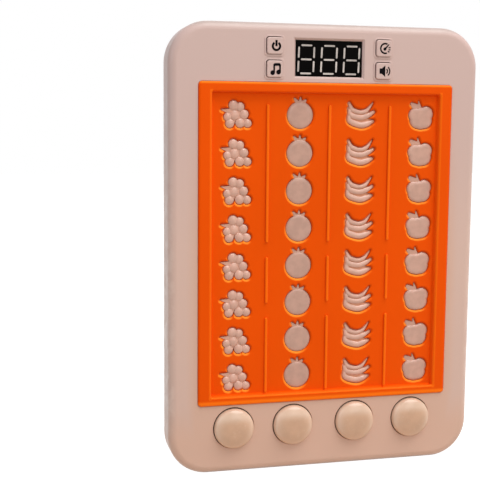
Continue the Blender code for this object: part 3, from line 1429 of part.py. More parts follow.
def build():
    make_front_housing()
    make_rear_housing()
    make_game_panel()
    for column, fruit in enumerate(FRUITS):
        make_lens_strip(column, fruit)
    make_light_baffle()
    make_main_board()
    make_display()
    for name, (x, y) in KEY_PLACES.items():
        make_key(name, x, y)
        make_key_switch(name, x, y)
    for number, (x, y) in enumerate(button_places(), 1):
        make_play_button(number, x, y)
        make_button_switch(number, x, y)
    case_head = BACK_Z + HEAD_SEAT - SEAT_GAP - HEAD_HEIGHT
    case_tip = PARTING_Z + PILOT_DEPTH - OVERRUN
    for number, (x, y) in enumerate(case_screw_places(), 1):
        make_screw(f"case_screw_{number}", x, y, case_head, HEAD_HEIGHT, case_tip)
    board_head = BOARD_BACK - SEAT_GAP - BOARD_HEAD_HEIGHT
    board_tip = FACE_BACK - SEAT_GAP - WALL
    for number, (x, y) in enumerate(board_screw_places(), 1):
        make_screw(f"board_screw_{number}", x, y, board_head, BOARD_HEAD_HEIGHT, board_tip)
    make_battery_door()
    make_cells()
    basket_z = make_speaker()
    make_leads(basket_z)


build()
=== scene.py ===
import math

import bmesh
import bpy
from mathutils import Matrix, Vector


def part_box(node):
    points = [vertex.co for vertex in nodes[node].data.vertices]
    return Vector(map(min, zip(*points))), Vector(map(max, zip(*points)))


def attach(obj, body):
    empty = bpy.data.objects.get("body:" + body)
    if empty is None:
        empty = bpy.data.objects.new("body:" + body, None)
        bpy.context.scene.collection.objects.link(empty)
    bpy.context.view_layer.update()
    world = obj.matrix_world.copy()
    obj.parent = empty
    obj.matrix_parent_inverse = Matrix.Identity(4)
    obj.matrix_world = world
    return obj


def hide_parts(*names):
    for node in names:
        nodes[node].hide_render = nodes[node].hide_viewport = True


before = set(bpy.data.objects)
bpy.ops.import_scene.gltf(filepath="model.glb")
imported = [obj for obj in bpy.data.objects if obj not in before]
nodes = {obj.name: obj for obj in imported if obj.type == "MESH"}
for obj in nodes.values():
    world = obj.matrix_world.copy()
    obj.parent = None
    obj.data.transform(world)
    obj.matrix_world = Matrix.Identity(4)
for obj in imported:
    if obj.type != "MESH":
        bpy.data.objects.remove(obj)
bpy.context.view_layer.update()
print("console: frame loaded")

# Everything is modelled lying face up in millimetres (x right, y up the face, z out of it).
# standUp() then turns it upright and brings it to metres.
standing = {"scale": 0.001, "faceY": -0.0109, "middleZ": 0.1046, "halfWidth": 0.075, "recessUp": 0.0026}
# how near counts as the same in millimetres, and how sharp counts as a crease in radians
tolerance = {"level": 0.002, "touch": 0.001, "tall": 0.01, "merge": 0.0005, "crease": 0.9}
# how far a cutter runs out of the face, and out of anything else
cutter = {"past": 5.0, "over": 1.0}


def hold(piece):
    bpy.ops.object.select_all(action="DESELECT")
    piece.select_set(True)
    bpy.context.view_layer.objects.active = piece
    return piece


def settle():
    bpy.ops.object.transform_apply(location=True, rotation=True, scale=True)


def taken(name, scale=(1, 1, 1)):
    # the shape just added, named and sized
    piece = bpy.context.object
    piece.name = name
    piece.scale = scale
    settle()
    return piece


def placed(name, data):
    # a new object in the scene and in hand
    piece = bpy.data.objects.new(name, data)
    bpy.context.scene.collection.objects.link(piece)
    return hold(piece)


def moved(piece, place, scale=(1, 1, 1)):
    hold(piece)
    piece.location = place
    piece.scale = scale
    settle()
    return piece


def copyTo(piece, x, y):
    return moved(placed(piece.name, piece.data.copy()), (x, y, 0))


def openUp(piece, kind="EDGE"):
    hold(piece)
    bpy.ops.object.mode_set(mode="EDIT")
    bpy.ops.mesh.select_mode(type=kind)


def closeUp():
    bpy.ops.object.mode_set(mode="OBJECT")


def pick(piece, kind, test):
    # in edit mode: selects the edges or faces that pass a test on their place or direction
    bpy.ops.mesh.select_mode(type=kind)
    bpy.ops.mesh.select_all(action="DESELECT")
    mesh = bmesh.from_edit_mesh(piece.data)
    found = mesh.edges if kind == "EDGE" else mesh.faces
    for item in found:
        item.select = test(item)
    mesh.select_flush_mode()
    bmesh.update_edit_mesh(piece.data)


def pullUp(rise):
    # in edit mode: extrudes what is selected
    bpy.ops.mesh.extrude_region_move(TRANSFORM_OT_translate={"value": (0, 0, rise)})


def cleaned(piece, merge=0):
    # merges doubled points and turns the faces outward
    openUp(piece, "VERT")
    bpy.ops.mesh.select_all(action="SELECT")
    if merge:
        bpy.ops.mesh.remove_doubles(threshold=merge)
    bpy.ops.mesh.normals_make_consistent(inside=False)
    closeUp()
    return piece


def isUpright(edge):
    run = edge.verts[0].co - edge.verts[1].co
    return abs(run.z) > tolerance["tall"] and math.hypot(run.x, run.y) < tolerance["touch"]


def isLevel(edge, z):
    return all(abs(point.co.z - z) < tolerance["level"] for point in edge.verts)


def isCrease(edge):
    sharp = len(edge.link_faces) == 2 and edge.calc_face_angle(0) > tolerance["crease"]
    return sharp and edge.is_convex


def atLevel(z):
    # a test for the edges at one height
    return lambda edge: isLevel(edge, z)


def creaseAt(z, where=None):
    # a test for the creases at one height, and in one place where that is given
    def test(edge):
        middle = (edge.verts[0].co + edge.verts[1].co) / 2
        return isLevel(edge, z) and isCrease(edge) and (where is None or where(middle))
    return test


def roundEdges(piece, test, width, steps):
    openUp(piece)
    pick(piece, "EDGE", test)
    bpy.ops.mesh.bevel(offset=width, segments=steps, affect="EDGES", clamp_overlap=False)
    closeUp()


def block(name, x, y, low, high, width, height, corner=0, cornerSteps=4):
    bpy.ops.mesh.primitive_cube_add(size=1, location=(x, y, (low + high) / 2))
    piece = taken(name, (width, height, high - low))
    if corner:
        roundEdges(piece, isUpright, corner, cornerSteps)
    return piece


def rod(name, x, y, low, high, radius, steps=32):
    place = (x, y, (low + high) / 2)
    bpy.ops.mesh.primitive_cylinder_add(
        vertices=steps, radius=radius, depth=high - low, location=place)
    return taken(name)


def disc(name, place, radius, steps):
    bpy.ops.mesh.primitive_circle_add(
        vertices=steps, radius=radius, fill_type="NGON", location=place)
    return taken(name)


def combine(piece, tool, how="DIFFERENCE"):
    step = piece.modifiers.new("combine", "BOOLEAN")
    step.object = tool
    step.operation = how
    step.solver = "EXACT"
    hold(piece)
    bpy.ops.object.modifier_apply(modifier=step.name)
    bpy.data.objects.remove(tool, do_unlink=True)


def gather(pieces):
    # joins several shapes that don't touch into one object
    bpy.ops.object.select_all(action="DESELECT")
    for piece in pieces:
        piece.select_set(True)
    bpy.context.view_layer.objects.active = pieces[0]
    if len(pieces) > 1:
        bpy.ops.object.join()
    return pieces[0]


def drawnUp(name, profile, steps, x, y):
    # a disc pulled up ring by ring through (radius, height) pairs
    radius, z = profile[0]
    piece = disc(name, (x, y, z), radius, steps)
    openUp(piece, "FACE")
    bpy.ops.mesh.select_all(action="SELECT")
    for nextRadius, nextZ in profile[1:]:
        pullUp(nextZ - z)
        share = nextRadius / radius
        bpy.ops.transform.resize(value=(share, share, 1), center_override=(x, y, nextZ))
        radius, z = nextRadius, nextZ
    closeUp()
    return cleaned(piece)


def meshed(name, line):
    # a curve turned into a mesh
    placed(name, line)
    bpy.ops.object.convert(target="MESH")
    return bpy.context.object


def flatShape(name, outlines, low, high):
    # flat outlines filled and thickened
    line = bpy.data.curves.new(name, "CURVE")
    line.dimensions = "2D"
    line.fill_mode = "BOTH"
    line.extrude = (high - low) / 2
    for outline in outlines:
        run = line.splines.new("POLY")
        run.points.add(len(outline) - 1)
        for point, (x, y) in zip(run.points, outline):
            point.co = (x, y, 0, 1)
        run.use_cyclic_u = True
    return cleaned(moved(meshed(name, line), (0, 0, (low + high) / 2)), tolerance["merge"])


def arcPoints(x, y, radius, start, end, steps):
    turns = [math.radians(start + (end - start) * i / steps) for i in range(steps + 1)]
    return [(x + radius * math.cos(a), y + radius * math.sin(a)) for a in turns]


def ringArc(x, y, outer, inner, start, end, steps):
    return arcPoints(x, y, outer, start, end, steps) + arcPoints(x, y, inner, end, start, steps)


def span(low, high):
    # the middle and the length of a stretch
    return (low + high) / 2, high - low


def standUp(piece):
    hold(piece)
    piece.scale = (standing["scale"],) * 3
    piece.rotation_euler = (math.radians(90), 0, 0)
    piece.location = (0, standing["faceY"], standing["middleZ"])
    settle()


def cover(data, finish):
    data.materials.clear()
    data.materials.append(finish)


def dress(piece, body, finish, instead, angle):
    # gives an upright piece its material, smooth shading, body and the nodes it stands for
    cover(piece.data, finish)
    hold(piece)
    bpy.ops.object.shade_smooth_by_angle(angle=math.radians(angle))
    even = piece.modifiers.new("even", "WEIGHTED_NORMAL")
    even.keep_sharp = True
    even.weight = 80
    bpy.ops.object.modifier_apply(modifier=even.name)
    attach(piece, body)
    if instead:
        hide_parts(*instead)


def fit(piece, body, finish, instead=(), angle=32):
    standUp(piece)
    dress(piece, body, finish, instead, angle)


class Wire:
    # a socket that can be added, multiplied and so on
    def __init__(self, bench, socket):
        self.bench = bench
        self.socket = socket

    def maths(self, how, other, turned=False):
        first, second = (other, self) if turned else (self, other)
        return self.bench.node("ShaderNodeMath", {"operation": how}, {0: first, 1: second})

    def __add__(self, other):
        return self.maths("ADD", other)

    def __mul__(self, other):
        return self.maths("MULTIPLY", other)

    def __sub__(self, other):
        return self.maths("SUBTRACT", other)

    def __rsub__(self, other):
        return self.maths("SUBTRACT", other, True)

    __radd__ = __add__

    def above(self, edge):
        return self.maths("GREATER_THAN", edge)

    def most(self, other):
        return self.maths("MAXIMUM", other)

    def size(self):
        return self.maths("ABSOLUTE", 0)

    def clipped(self, start, full):
        # 0 up to start, 1 from full on, even between; full may be the lower of the two
        limits = {0: self, 1: start, 2: full, 3: 0.0, 4: 1.0}
        return self.bench.node("ShaderNodeMapRange", {"interpolation_type": "SMOOTHSTEP"}, limits)


class Bench:
    # a node tree with one way to add a node
    def __init__(self, tree):
        self.tree = tree

    def node(self, kind, settings=None, sockets=None, out=0):
        made = self.tree.nodes.new(kind)
        for label, value in (settings or {}).items():
            setattr(made, label, value)
        for label, value in (sockets or {}).items():
            self.put(made.inputs[label], value)
        return Wire(self, made.outputs[out]) if made.outputs else None

    def put(self, socket, value):
        if isinstance(value, Wire):
            self.tree.links.new(value.socket, socket)
        elif socket.type == "RGBA":
            socket.default_value = (*value, 1)
        else:
            socket.default_value = value


class Finish(Bench):
    def __init__(self, name, **constants):
        self.material = bpy.data.materials.new(name)
        self.material.use_nodes = True
        super().__init__(self.material.node_tree)
        self.shader = self.tree.nodes["Principled BSDF"]
        self.wear(**constants)
        self.place = self.node("ShaderNodeTexCoord", out="Object")

    def noise(self, scale, detail=3.0, roughness=0.5, stretch=None):
        where = self.place
        if stretch:
            where = self.node("ShaderNodeMapping", None, {"Vector": where, "Scale": stretch})
        sockets = {"Vector": where, "Scale": scale, "Detail": detail, "Roughness": roughness}
        return self.node("ShaderNodeTexNoise", None, sockets)

    def cells(self, scale):
        return self.node("ShaderNodeTexVoronoi", None, {"Vector": self.place, "Scale": scale}, "Distance")

    def spot(self, axis):
        # one of the places that zones are given in
        split = self.node("ShaderNodeSeparateXYZ", None, {0: self.place})
        x, y, high = (Wire(self, socket) for socket in split.socket.node.outputs)
        if axis == "side":
            return x.size()
        if axis == "out":
            return standing["faceY"] - y
        if axis == "high":
            return high
        up = high - standing["middleZ"]
        if axis == "up":
            return up
        return up.size() if axis == "far" else (up - standing["recessUp"]).size()

    def zone(self, name):
        # a tone's share, which fades to 0 past each of its limits
        share = zones[name]["share"]
        for axis, limits in zones[name].items():
            if axis != "share":
                share = self.spot(axis).clipped(*limits) * share
        return share

    def mix(self, share, first, second):
        return self.node("ShaderNodeMix", {"data_type": "RGBA"}, {0: share, 6: first, 7: second}, 2)

    def mottled(self, cloud, shade, dark, pale):
        # drifts between a darker and a paler tone of one shade
        return self.mix(cloud.clipped(0.3, 0.7), tinted(shade, dark), tinted(shade, pale))

    def bump(self, height, strength, distance=0.0001, under=None):
        sockets = {"Height": height, "Strength": strength, "Distance": distance}
        if under:
            sockets["Normal"] = under
        return self.node("ShaderNodeBump", None, sockets)

    def wear(self, **values):
        for label, value in values.items():
            self.put(self.shader.inputs[label.replace("_", " ")], value)
        return self.material


def tinted(shade, amount):
    return tuple(min(1.0, part * amount) for part in shade)


shades = {
    "shell": (0.635, 0.452, 0.390),
    "shellWorn": (0.760, 0.600, 0.530),
    # painted light and shade on the shell: warm and cool light, shade on the top edge and foot
    "shellWarmLight": (0.635, 0.412, 0.318),
    "shellCoolLight": (0.585, 0.430, 0.402),
    "shellTopEdgeShade": (0.460, 0.370, 0.340),
    "shellFootShade": (0.330, 0.180, 0.120),
    "orange": (0.830, 0.083, 0.002),
    "orangeWorn": (0.900, 0.200, 0.020),
    # painted glow, light and shade for the game panel
    "orangeGlow": (1.0, 0.190, 0.008),
    "orangeLit": (1.0, 0.290, 0.030),
    "orangeShaded": (0.480, 0.045, 0.004),
    "lens": (0.540, 0.320, 0.250),
    # painted orange glow from the panel on a lens where it sinks
    "lensPanelGlow": (0.620, 0.250, 0.130),
    # painted shade on the walls of the gaps round the keys and buttons
    "gap": (0.110, 0.045, 0.026),
    "button": (0.572, 0.356, 0.233),
    # painted glow and shade on the buttons' rim, and a painted highlight whose pale tone rub marks share
    "buttonRimGlow": (0.730, 0.530, 0.400),
    "buttonRimShade": (0.690, 0.430, 0.270),
    "buttonPale": (0.720, 0.580, 0.470),
    "ink": (0.002, 0.001, 0.002),
    "glass": (0.0012, 0.0008, 0.0008),
    "dust": (0.20, 0.19, 0.18),
    "segment": (0.560, 0.520, 0.500),
    "white": (1.0, 1.0, 1.0),
}
plastics = {
    "shell": {"rough": 0.40, "grain": 0.10, "scuff": 0.25, "shine": 0.5, "gloss": (1, 1, 1)},
    "orange": {"rough": 0.34, "grain": 0.08, "scuff": 0.30, "shine": 0.30, "gloss": (1.0, 0.42, 0.06)},
}
# the band round the housing that hands rub, in metres from its outline
rubbing = {"reach": 0.0035, "width": 0.0025, "share": 0.45}
# Where tones lie, with their full share. A pair says where a tone starts and where it is full, in
# metres: side from the middle line, up from the middle of the face, far the same both ways, ends
# from the middle of the recess both ways, high from the table and out from the face.
# every zone here places painted light or painted shade
zones = {
    "rib": {"share": 0.65, "out": (-0.0014, -0.0009), "side": (0.0542, 0.0538), "ends": (0.0694, 0.069)},
    "lip": {"share": 0.5, "side": (0.0568, 0.0562), "ends": (0.0718, 0.0712)},
    "rimTop": {"share": 0.9, "up": (0.0762, 0.0772), "out": (-0.0006, 0.0)},
    "rimFoot": {"share": 0.9, "up": (-0.069, -0.0704), "out": (-0.0006, 0.0)},
    "beside": {"share": 0.85, "side": (0.068, 0.062), "high": (0.1865, 0.18)},
    "below": {"share": 0.85, "high": (0.036, 0.014)},
    "upper": {"share": 1.0, "high": (0.08, 0.19)},
    "topEdge": {"share": 0.8, "high": (0.2055, 0.2085)},
    "buttonRow": {"share": 1.0, "high": (0.034, 0.033)},
    "keyRow": {"share": 1.0, "side": (0.0195, 0.0205)},
    "gapShade": {"share": 0.85, "side": (0.06, 0.058), "far": (0.0995, 0.0985), "out": (-0.0003, -0.0008)},
    "foot": {"share": 0.85, "high": (0.0017, 0.0003)},
    "lensSunk": {"share": 1.0, "out": (-0.0023, -0.0029)},
    "buttonUpper": {"share": 1.0, "high": (0.013, 0.0205)},
    "buttonRimGlow": {"share": 1.0, "out": (0.0043, 0.0019)},
    "buttonTop": {"share": 0.8, "high": (0.027, 0.0298)},
    "buttonPale": {"share": 0.4, "high": (0.0238, 0.0275)},
    "buttonGapShade": {"share": 0.85, "out": (-0.0001, -0.0009)},
}
# the panel's inner lip, where its painted glow lies: place, reach and how much of the reach is full
lipBands = {"side": (0.0557, 0.001), "up": (-0.0677, 0.0009), "full": 0.4}


def edgeMask(bench):
    # 1 on the outermost band of the housing, 0 further in
    masks = []
    for axis, half in (("side", standing["halfWidth"]), ("far", standing["middleZ"])):
        start = half - rubbing["reach"]
        masks.append(bench.spot(axis).clipped(start, start + rubbing["width"]))
    return masks[0].most(masks[1])


def mouldedPlastic(name, kind, local=None):
    # fine spark-eroded grain, broad tone drift, rubbed edges and a few faint marks
    plastic, shade = plastics[kind], shades[kind]
    rough = plastic["rough"]
    bench = Finish(name, Roughness=rough, Specular_IOR_Level=plastic["shine"],
                   Specular_Tint=plastic["gloss"])
    drift = bench.noise(11)
    marks = bench.noise(70, 5, 0.7, (1.0, 1.0, 0.25)).clipped(0.60, 0.74)
    rubbed = edgeMask(bench) * bench.noise(160, 4, 0.6).clipped(0.42, 0.62)
    base = bench.mottled(drift, shade, 0.965, 1.03)
    base = bench.mix(marks * plastic["scuff"], base, tinted(shade, 0.86))
    base = bench.mix(rubbed * rubbing["share"], base, shades[f"{kind}Worn"])
    if local:
        base = local(bench, base)
    rough = rough + (drift - 0.5) * 0.10 + marks * 0.10 - rubbed * 0.08
    skin = bench.bump(bench.noise(2600, 2, 0.6), plastic["grain"], 0.00006)
    skin = bench.bump(bench.noise(24, 2), 0.10, 0.0006, skin)
    return bench.wear(Base_Color=base, Roughness=rough, Normal=skin)


def lipBand(bench, axis):
    # 1 at the lip, fading to 0 at its reach
    place, reach = lipBands[axis]
    return (bench.spot(axis) - place).size().clipped(reach, reach * lipBands["full"])


def paintedPanelLight(bench, base):
    # painted glow and highlights on the panel's ribs, inner lip and outer rim; the holes' flares get
    # painted light where they face the light and painted shade where they face away, as markFlares
    # notes
    lip = lipBand(bench, "side").most(lipBand(bench, "up")) * bench.zone("lip")
    glow = bench.zone("rib").most(lip).most(bench.zone("rimTop")).most(bench.zone("rimFoot"))
    base = bench.mix(glow, base, shades["orangeGlow"])
    catch = bench.node("ShaderNodeAttribute", {"attribute_name": "catch"}, out="Fac")
    base = bench.mix(catch.clipped(0.1, 0.9) * 0.9, base, shades["orangeLit"])
    return bench.mix(catch.clipped(-0.2, -0.9) * 0.4, base, shades["orangeShaded"])


def shellLight(bench, base):
    # painted light and shade: orange light off the panel beside and below it, cool light on the upper
    # face, painted grey shade on the top edge, painted shade in the gaps round the keys and buttons and
    # a brown painted shade along the foot
    warm = bench.zone("beside").most(bench.zone("below"))
    gapShade = bench.zone("buttonRow").most(bench.zone("keyRow")) * bench.zone("gapShade")
    base = bench.mix(warm, base, shades["shellWarmLight"])
    base = bench.mix(bench.zone("upper"), base, shades["shellCoolLight"])
    base = bench.mix(bench.zone("topEdge"), base, shades["shellTopEdgeShade"])
    base = bench.mix(gapShade, base, shades["gap"])
    return bench.mix(bench.zone("foot"), base, shades["shellFootShade"])


def lensFinish(fruit, share):
    # milky resin, made brighter or darker per fruit as painted light, with a painted orange glow from
    # the panel where it sinks into its hole
    bench = Finish(f"milkyLens_{fruit}", Roughness=0.34, Specular_IOR_Level=0.30,
                   Coat_Weight=0.60, Coat_Roughness=0.12)
    cloud = bench.noise(260, 3, 0.55)
    base = bench.mottled(cloud, tinted(shades["lens"], share), 0.93, 1.07)
    base = bench.mix(bench.zone("lensSunk"), base, shades["lensPanelGlow"])
    skin = bench.bump(bench.noise(900, 2), 0.06)
    return bench.wear(Base_Color=base, Roughness=0.30 + cloud * 0.10, Normal=skin)


def buttonFinish():
    # cast cream plastic with painted light: a pale glow round the rim, shaded low down and held back at
    # the top, a painted highlight on the upper dome and painted shade in the gap below the face, with rub
    # marks where thumbs land
    bench = Finish("buttonCream", Roughness=0.30, Specular_IOR_Level=0.3,
                   Coat_Weight=0.5, Coat_Roughness=0.14)
    cloud = bench.noise(180)
    rub = bench.noise(900, 4, 0.7).clipped(0.56, 0.72)
    base = bench.mottled(cloud, shades["button"], 0.96, 1.04)
    # painted light: the rim glows paler on its upper side and takes a painted shade low down
    rim = bench.mix(bench.zone("buttonUpper"), shades["buttonRimShade"], shades["buttonRimGlow"])
    base = bench.mix(bench.zone("buttonRimGlow") * (1.0 - bench.zone("buttonTop")), base, rim)
    base = bench.mix(bench.zone("buttonPale"), base, shades["buttonPale"])
    base = bench.mix(rub * 0.20, base, shades["buttonPale"])
    # painted shade on the walls below the face
    base = bench.mix(bench.zone("buttonGapShade"), base, shades["gap"])
    rough = 0.26 + cloud * 0.08 + rub * 0.08
    return bench.wear(Base_Color=base, Roughness=rough, Normal=bench.bump(bench.noise(700), 0.05))


def inkFinish():
    # pad-printed ink, slightly broken
    bench = Finish("printInk", Roughness=0.55, Specular_IOR_Level=0.05)
    speck = bench.noise(1800, 3, 0.6)
    base = bench.mix(speck.clipped(0.66, 0.80), shades["ink"], tinted(shades["ink"], 6))
    skin = bench.bump(speck, 0.05, 0.00005)
    return bench.wear(Base_Color=base, Roughness=0.45 + speck * 0.2, Normal=skin)


def glassFinish():
    # smoked display window with fine dust and wipe marks
    bench = Finish("smokedWindow", Roughness=0.20, Specular_IOR_Level=0.02)
    dust = bench.cells(1900).clipped(0.10, 0.02)
    wipe = bench.noise(90, 4, 0.6, (0.3, 1.0, 1.6))
    base = bench.mix(dust * 0.015, shades["glass"], shades["dust"])
    return bench.wear(Base_Color=base, Roughness=0.18 + wipe * 0.14, Normal=bench.bump(wipe, 0.03))


def segmentFinish():
    # pale light guides, a little uneven from bar to bar
    bench = Finish("segmentGuide", Roughness=0.45)
    cloud = bench.noise(240, 2)
    base = bench.mottled(cloud, shades["segment"], 0.72, 1.1)
    return bench.wear(Base_Color=base, Roughness=0.38 + cloud * 0.15, Normal=bench.bump(cloud, 0.1))


def metalFinish(name, shade, roughness, brush):
    # plated metal with brushed streaks and dull patches
    bench = Finish(name, Metallic=1.0, Roughness=roughness)
    streak = bench.noise(900, 3, 0.6, brush)
    dull = bench.noise(300, 4, 0.6).clipped(0.5, 0.7)
    base = bench.mix(dull * 0.5, shade, tinted(shade, 0.62))
    rough = roughness + streak * 0.14 + dull * 0.18 - 0.07
    return bench.wear(Base_Color=base, Roughness=rough, Normal=bench.bump(streak, 0.12, 0.00008))


def boardFinish():
    # green solder mask with copper runs showing under it
    bench = Finish("boardMask", Roughness=0.35, Coat_Weight=0.3, Coat_Roughness=0.2)
    sockets = {"Vector": bench.place, "Scale": 110.0, "Distortion": 6.0, "Detail": 1.0}
    runs = bench.node("ShaderNodeTexWave", {"bands_direction": "X"}, sockets).clipped(0.62, 0.72)
    base = bench.mix(runs, (0.010, 0.105, 0.035), (0.030, 0.220, 0.070))
    base = bench.mix(bench.noise(60).clipped(0.4, 0.8) * 0.4, base, (0.008, 0.070, 0.030))
    return bench.wear(Base_Color=base, Roughness=0.30 + runs * 0.12, Normal=bench.bump(runs, 0.2))


def plainFinish(name, shade, roughness, scale, coarse=0.10):
    # moulded or wound parts inside: tone drift and fine grain
    bench = Finish(name, Roughness=roughness)
    grain = bench.noise(scale * 12, 2)
    base = bench.mottled(bench.noise(scale), shade, 0.85, 1.15)
    rough = roughness - 0.06 + grain * 0.12
    return bench.wear(Base_Color=base, Roughness=rough, Normal=bench.bump(grain, coarse))


sleeveHalf = 0.0193


def cellFinish():
    # dark printed sleeve that leaves the metal can bare towards its ends
    bench = Finish("cellWrap", Roughness=0.30)
    bare = bench.spot("side").above(sleeveHalf)
    cloud = bench.noise(90)
    sleeve = bench.mix(cloud.clipped(0.3, 0.7), (0.030, 0.036, 0.044), (0.046, 0.056, 0.068))
    base = bench.mix(bare, sleeve, (0.60, 0.59, 0.57))
    skin = bench.bump(cloud, 0.05)
    return bench.wear(Base_Color=base, Roughness=0.24 + cloud * 0.12, Metallic=bare, Normal=skin)


finishes = {
    "shell": mouldedPlastic("shellPlastic", "shell", shellLight),
    "orange": mouldedPlastic("orangePlastic", "orange"),
    "panel": mouldedPlastic("panelPlastic", "orange", paintedPanelLight),
    "button": buttonFinish(),
    "ink": inkFinish(),
    "glass": glassFinish(),
    "segment": segmentFinish(),
    "steel": metalFinish("platedSteel", (0.56, 0.57, 0.58), 0.30, (1.0, 0.1, 1.0)),
    "magnet": metalFinish("magnetPlate", (0.25, 0.25, 0.26), 0.42, (1.0, 1.0, 0.2)),
    "baffle": plainFinish("bafflePlastic", (0.72, 0.72, 0.70), 0.55, 60),
    "board": boardFinish(),
    "switch": plainFinish("switchPlastic", (0.022, 0.022, 0.024), 0.48, 220),
    "basket": plainFinish("basketCoat", (0.018, 0.018, 0.020), 0.55, 180),
    "cone": plainFinish("conePaper", (0.030, 0.028, 0.028), 0.80, 400, 0.35),
    "wrap": cellFinish(),
    "leadRed": plainFinish("leadRed", (0.480, 0.020, 0.018), 0.45, 300),
    "leadBlack": plainFinish("leadBlack", (0.020, 0.020, 0.022), 0.45, 300),
}
print("console: finishes mixed")


shell = {
    "width": 150.0, "height": 209.2, "corner": 18.5, "cornerSteps": 14, "depth": 14.0, "wall": 2.2,
    "fillet": 4.0, "filletSteps": 8, "innerFillet": 2.0, "innerSteps": 3, "rim": 0.25,
    "bossRadius": 3.2, "postRadius": 2.6, "pilotRadius": 1.5, "pilotSteps": 16, "pilotDepth": 8.0,
    "bosses": [(-66.2, 90), (66.2, 90), (-66.2, -90), (66.2, -90), (-67.3, 0), (67.3, 0)],
    "posts": [(-50, 88), (50, 88), (-29.85, -94.5), (29.85, -94.5)], "postFoot": -8.9, "postTip": -3.3,
}
panel = {
    "halfWidth": 61.55, "bottom": -71.9, "top": 77.7, "front": 1.0, "back": -4.4, "corner": 1.8,
    "edge": 1.1, "gap": 0.14, "recessHalf": 55.25, "recessBottom": -67.7, "recessTop": 72.9,
    "recessCorner": 0.7, "recessCut": 4.0, "lip": 1.0, "lipReach": 0.1, "floorTop": -1.8,
    "floorBottom": -3.2, "flangeHalf": 63.95, "flangeTop": 78.6, "flangeFront": -2.5, "flangeCorner": 1.0,
    "flare": [(-0.75, 0.0), (-0.48, 0.10), (-0.28, 0.30), (-0.13, 0.60), (-0.05, 0.90), (0.02, 1.25),
              (0.4, 1.35)],
}
window = {
    "width": 31.8, "height": 15.9, "y": 88.8, "sink": 1.0, "bevel": 0.9, "gap": 0.3, "cut": -6.0,
    "back": -8.9, "edge": 0.2,
}
keys = {
    "side": 7.6, "corner": 1.2, "edge": 0.5, "top": 1.1, "gap": 0.26, "sag": 0.12, "cut": -8.0,
    "holeCorner": 1.5, "collar": 0.8, "collarTop": 0.30, "collarEdge": 0.28,
    "back": -3.3, "flangeFront": -2.5, "flangeGrow": 1.6, "stem": (-4.1, -3.0, 1.6, 20),
    "places": {"power": (-26.3, 94.0), "music": (-26.3, 83.6), "speed": (26.3, 94.0), "sound": (26.3, 83.6)},
}
buttons = {
    "radius": 9.5, "steps": 64, "dome": 4.2, "y": -83.1, "x": (-44.23, -15.46, 15.46, 44.23),
    "gap": 0.33, "sag": 0.15, "cut": -4.0, "edge": 0.3, "edgeReach": 11.0,
    "wellWall": 1.1, "wellDepth": 4.2, "wellSteps": 48, "clear": (140.0, 143.8),
    "flange": 10.9, "flangeBack": -3.6, "flangeFront": -2.5, "wall": 1.4, "hollow": (-4.0, -0.5),
    "stem": (-6.1, -0.3, 2.4, 24),
    "crown": [(1.0, 0.10), (0.993, 0.22), (0.975, 0.35), (0.94, 0.475), (0.89, 0.585), (0.83, 0.68),
              (0.76, 0.765), (0.68, 0.84), (0.60, 0.895), (0.52, 0.935), (0.42, 0.965), (0.25, 0.99),
              (0.06, 0.999)],
}


def roundedTray(name, inset, low, high, fillet, steps):
    wide, tall = shell["width"] - 2 * inset, shell["height"] - 2 * inset
    tray = block(name, 0, 0, low, high, wide, tall, shell["corner"] - inset, shell["cornerSteps"])
    roundEdges(tray, atLevel(high), fillet, steps)
    return tray


def addGuides(tray, foot, rise):
    # walls round the buttons' wells, cut away where the panel comes
    outer = buttons["flange"] + buttons["gap"] + buttons["wellWall"]
    guides = gather([rod("guide", x, buttons["y"], foot, rise, outer, buttons["wellSteps"])
                     for x in buttons["x"]])
    combine(guides, block("clear", 0, 0, foot - cutter["over"], 0, *buttons["clear"]))
    combine(tray, guides, "UNION")


def addCollars(tray, rise):
    wide, top = keys["side"] + 2 * (keys["gap"] + keys["collar"]), keys["collarTop"]
    collars = []
    for x, y in keys["places"].values():
        collar = block("collar", x, y, rise, top, wide, wide, keys["corner"] + keys["collar"], 5)
        roundEdges(collar, atLevel(top), keys["collarEdge"], 3)
        collars.append(collar)
    combine(tray, gather(collars), "UNION")


def windowCutter():
    # a straight hole that flares towards the face
    wide, tall = window["width"] + 2 * window["gap"], window["height"] + 2 * window["gap"]
    hole = block("windowHole", 0, window["y"], window["cut"], -window["sink"], wide, tall)
    openUp(hole, "FACE")
    pick(hole, "FACE", lambda face: face.normal.z > 0.9)
    pullUp(2 * window["sink"])
    spread = 4 * window["bevel"]
    centre = (0, window["y"], window["sink"])
    grown = ((wide + spread) / wide, (tall + spread) / tall, 1)
    bpy.ops.transform.resize(value=grown, center_override=centre)
    closeUp()
    return hole


def cutFace(tray):
    # the openings; the keys and buttons sit a little low and to the right in theirs
    gap, past = panel["gap"], cutter["past"]
    middle, tall = span(panel["bottom"] - gap, panel["top"] + gap)
    wide = 2 * (panel["halfWidth"] + gap)
    combine(tray, block("panelHole", 0, middle, -past, past, wide, tall, panel["corner"] + gap, 6))
    combine(tray, windowCutter())
    side, sag = keys["side"] + 2 * keys["gap"], keys["sag"]
    holes = [block("keyHole", x - sag, y + sag, keys["cut"], past, side, side, keys["holeCorner"], 5)
             for x, y in keys["places"].values()]
    left, up = buttons["sag"] / 2, buttons["y"] + buttons["sag"]
    bore = buttons["radius"] + buttons["gap"]
    holes += [rod("bore", x - left, up, buttons["cut"], past, bore, buttons["steps"])
              for x in buttons["x"]]
    combine(tray, gather(holes))


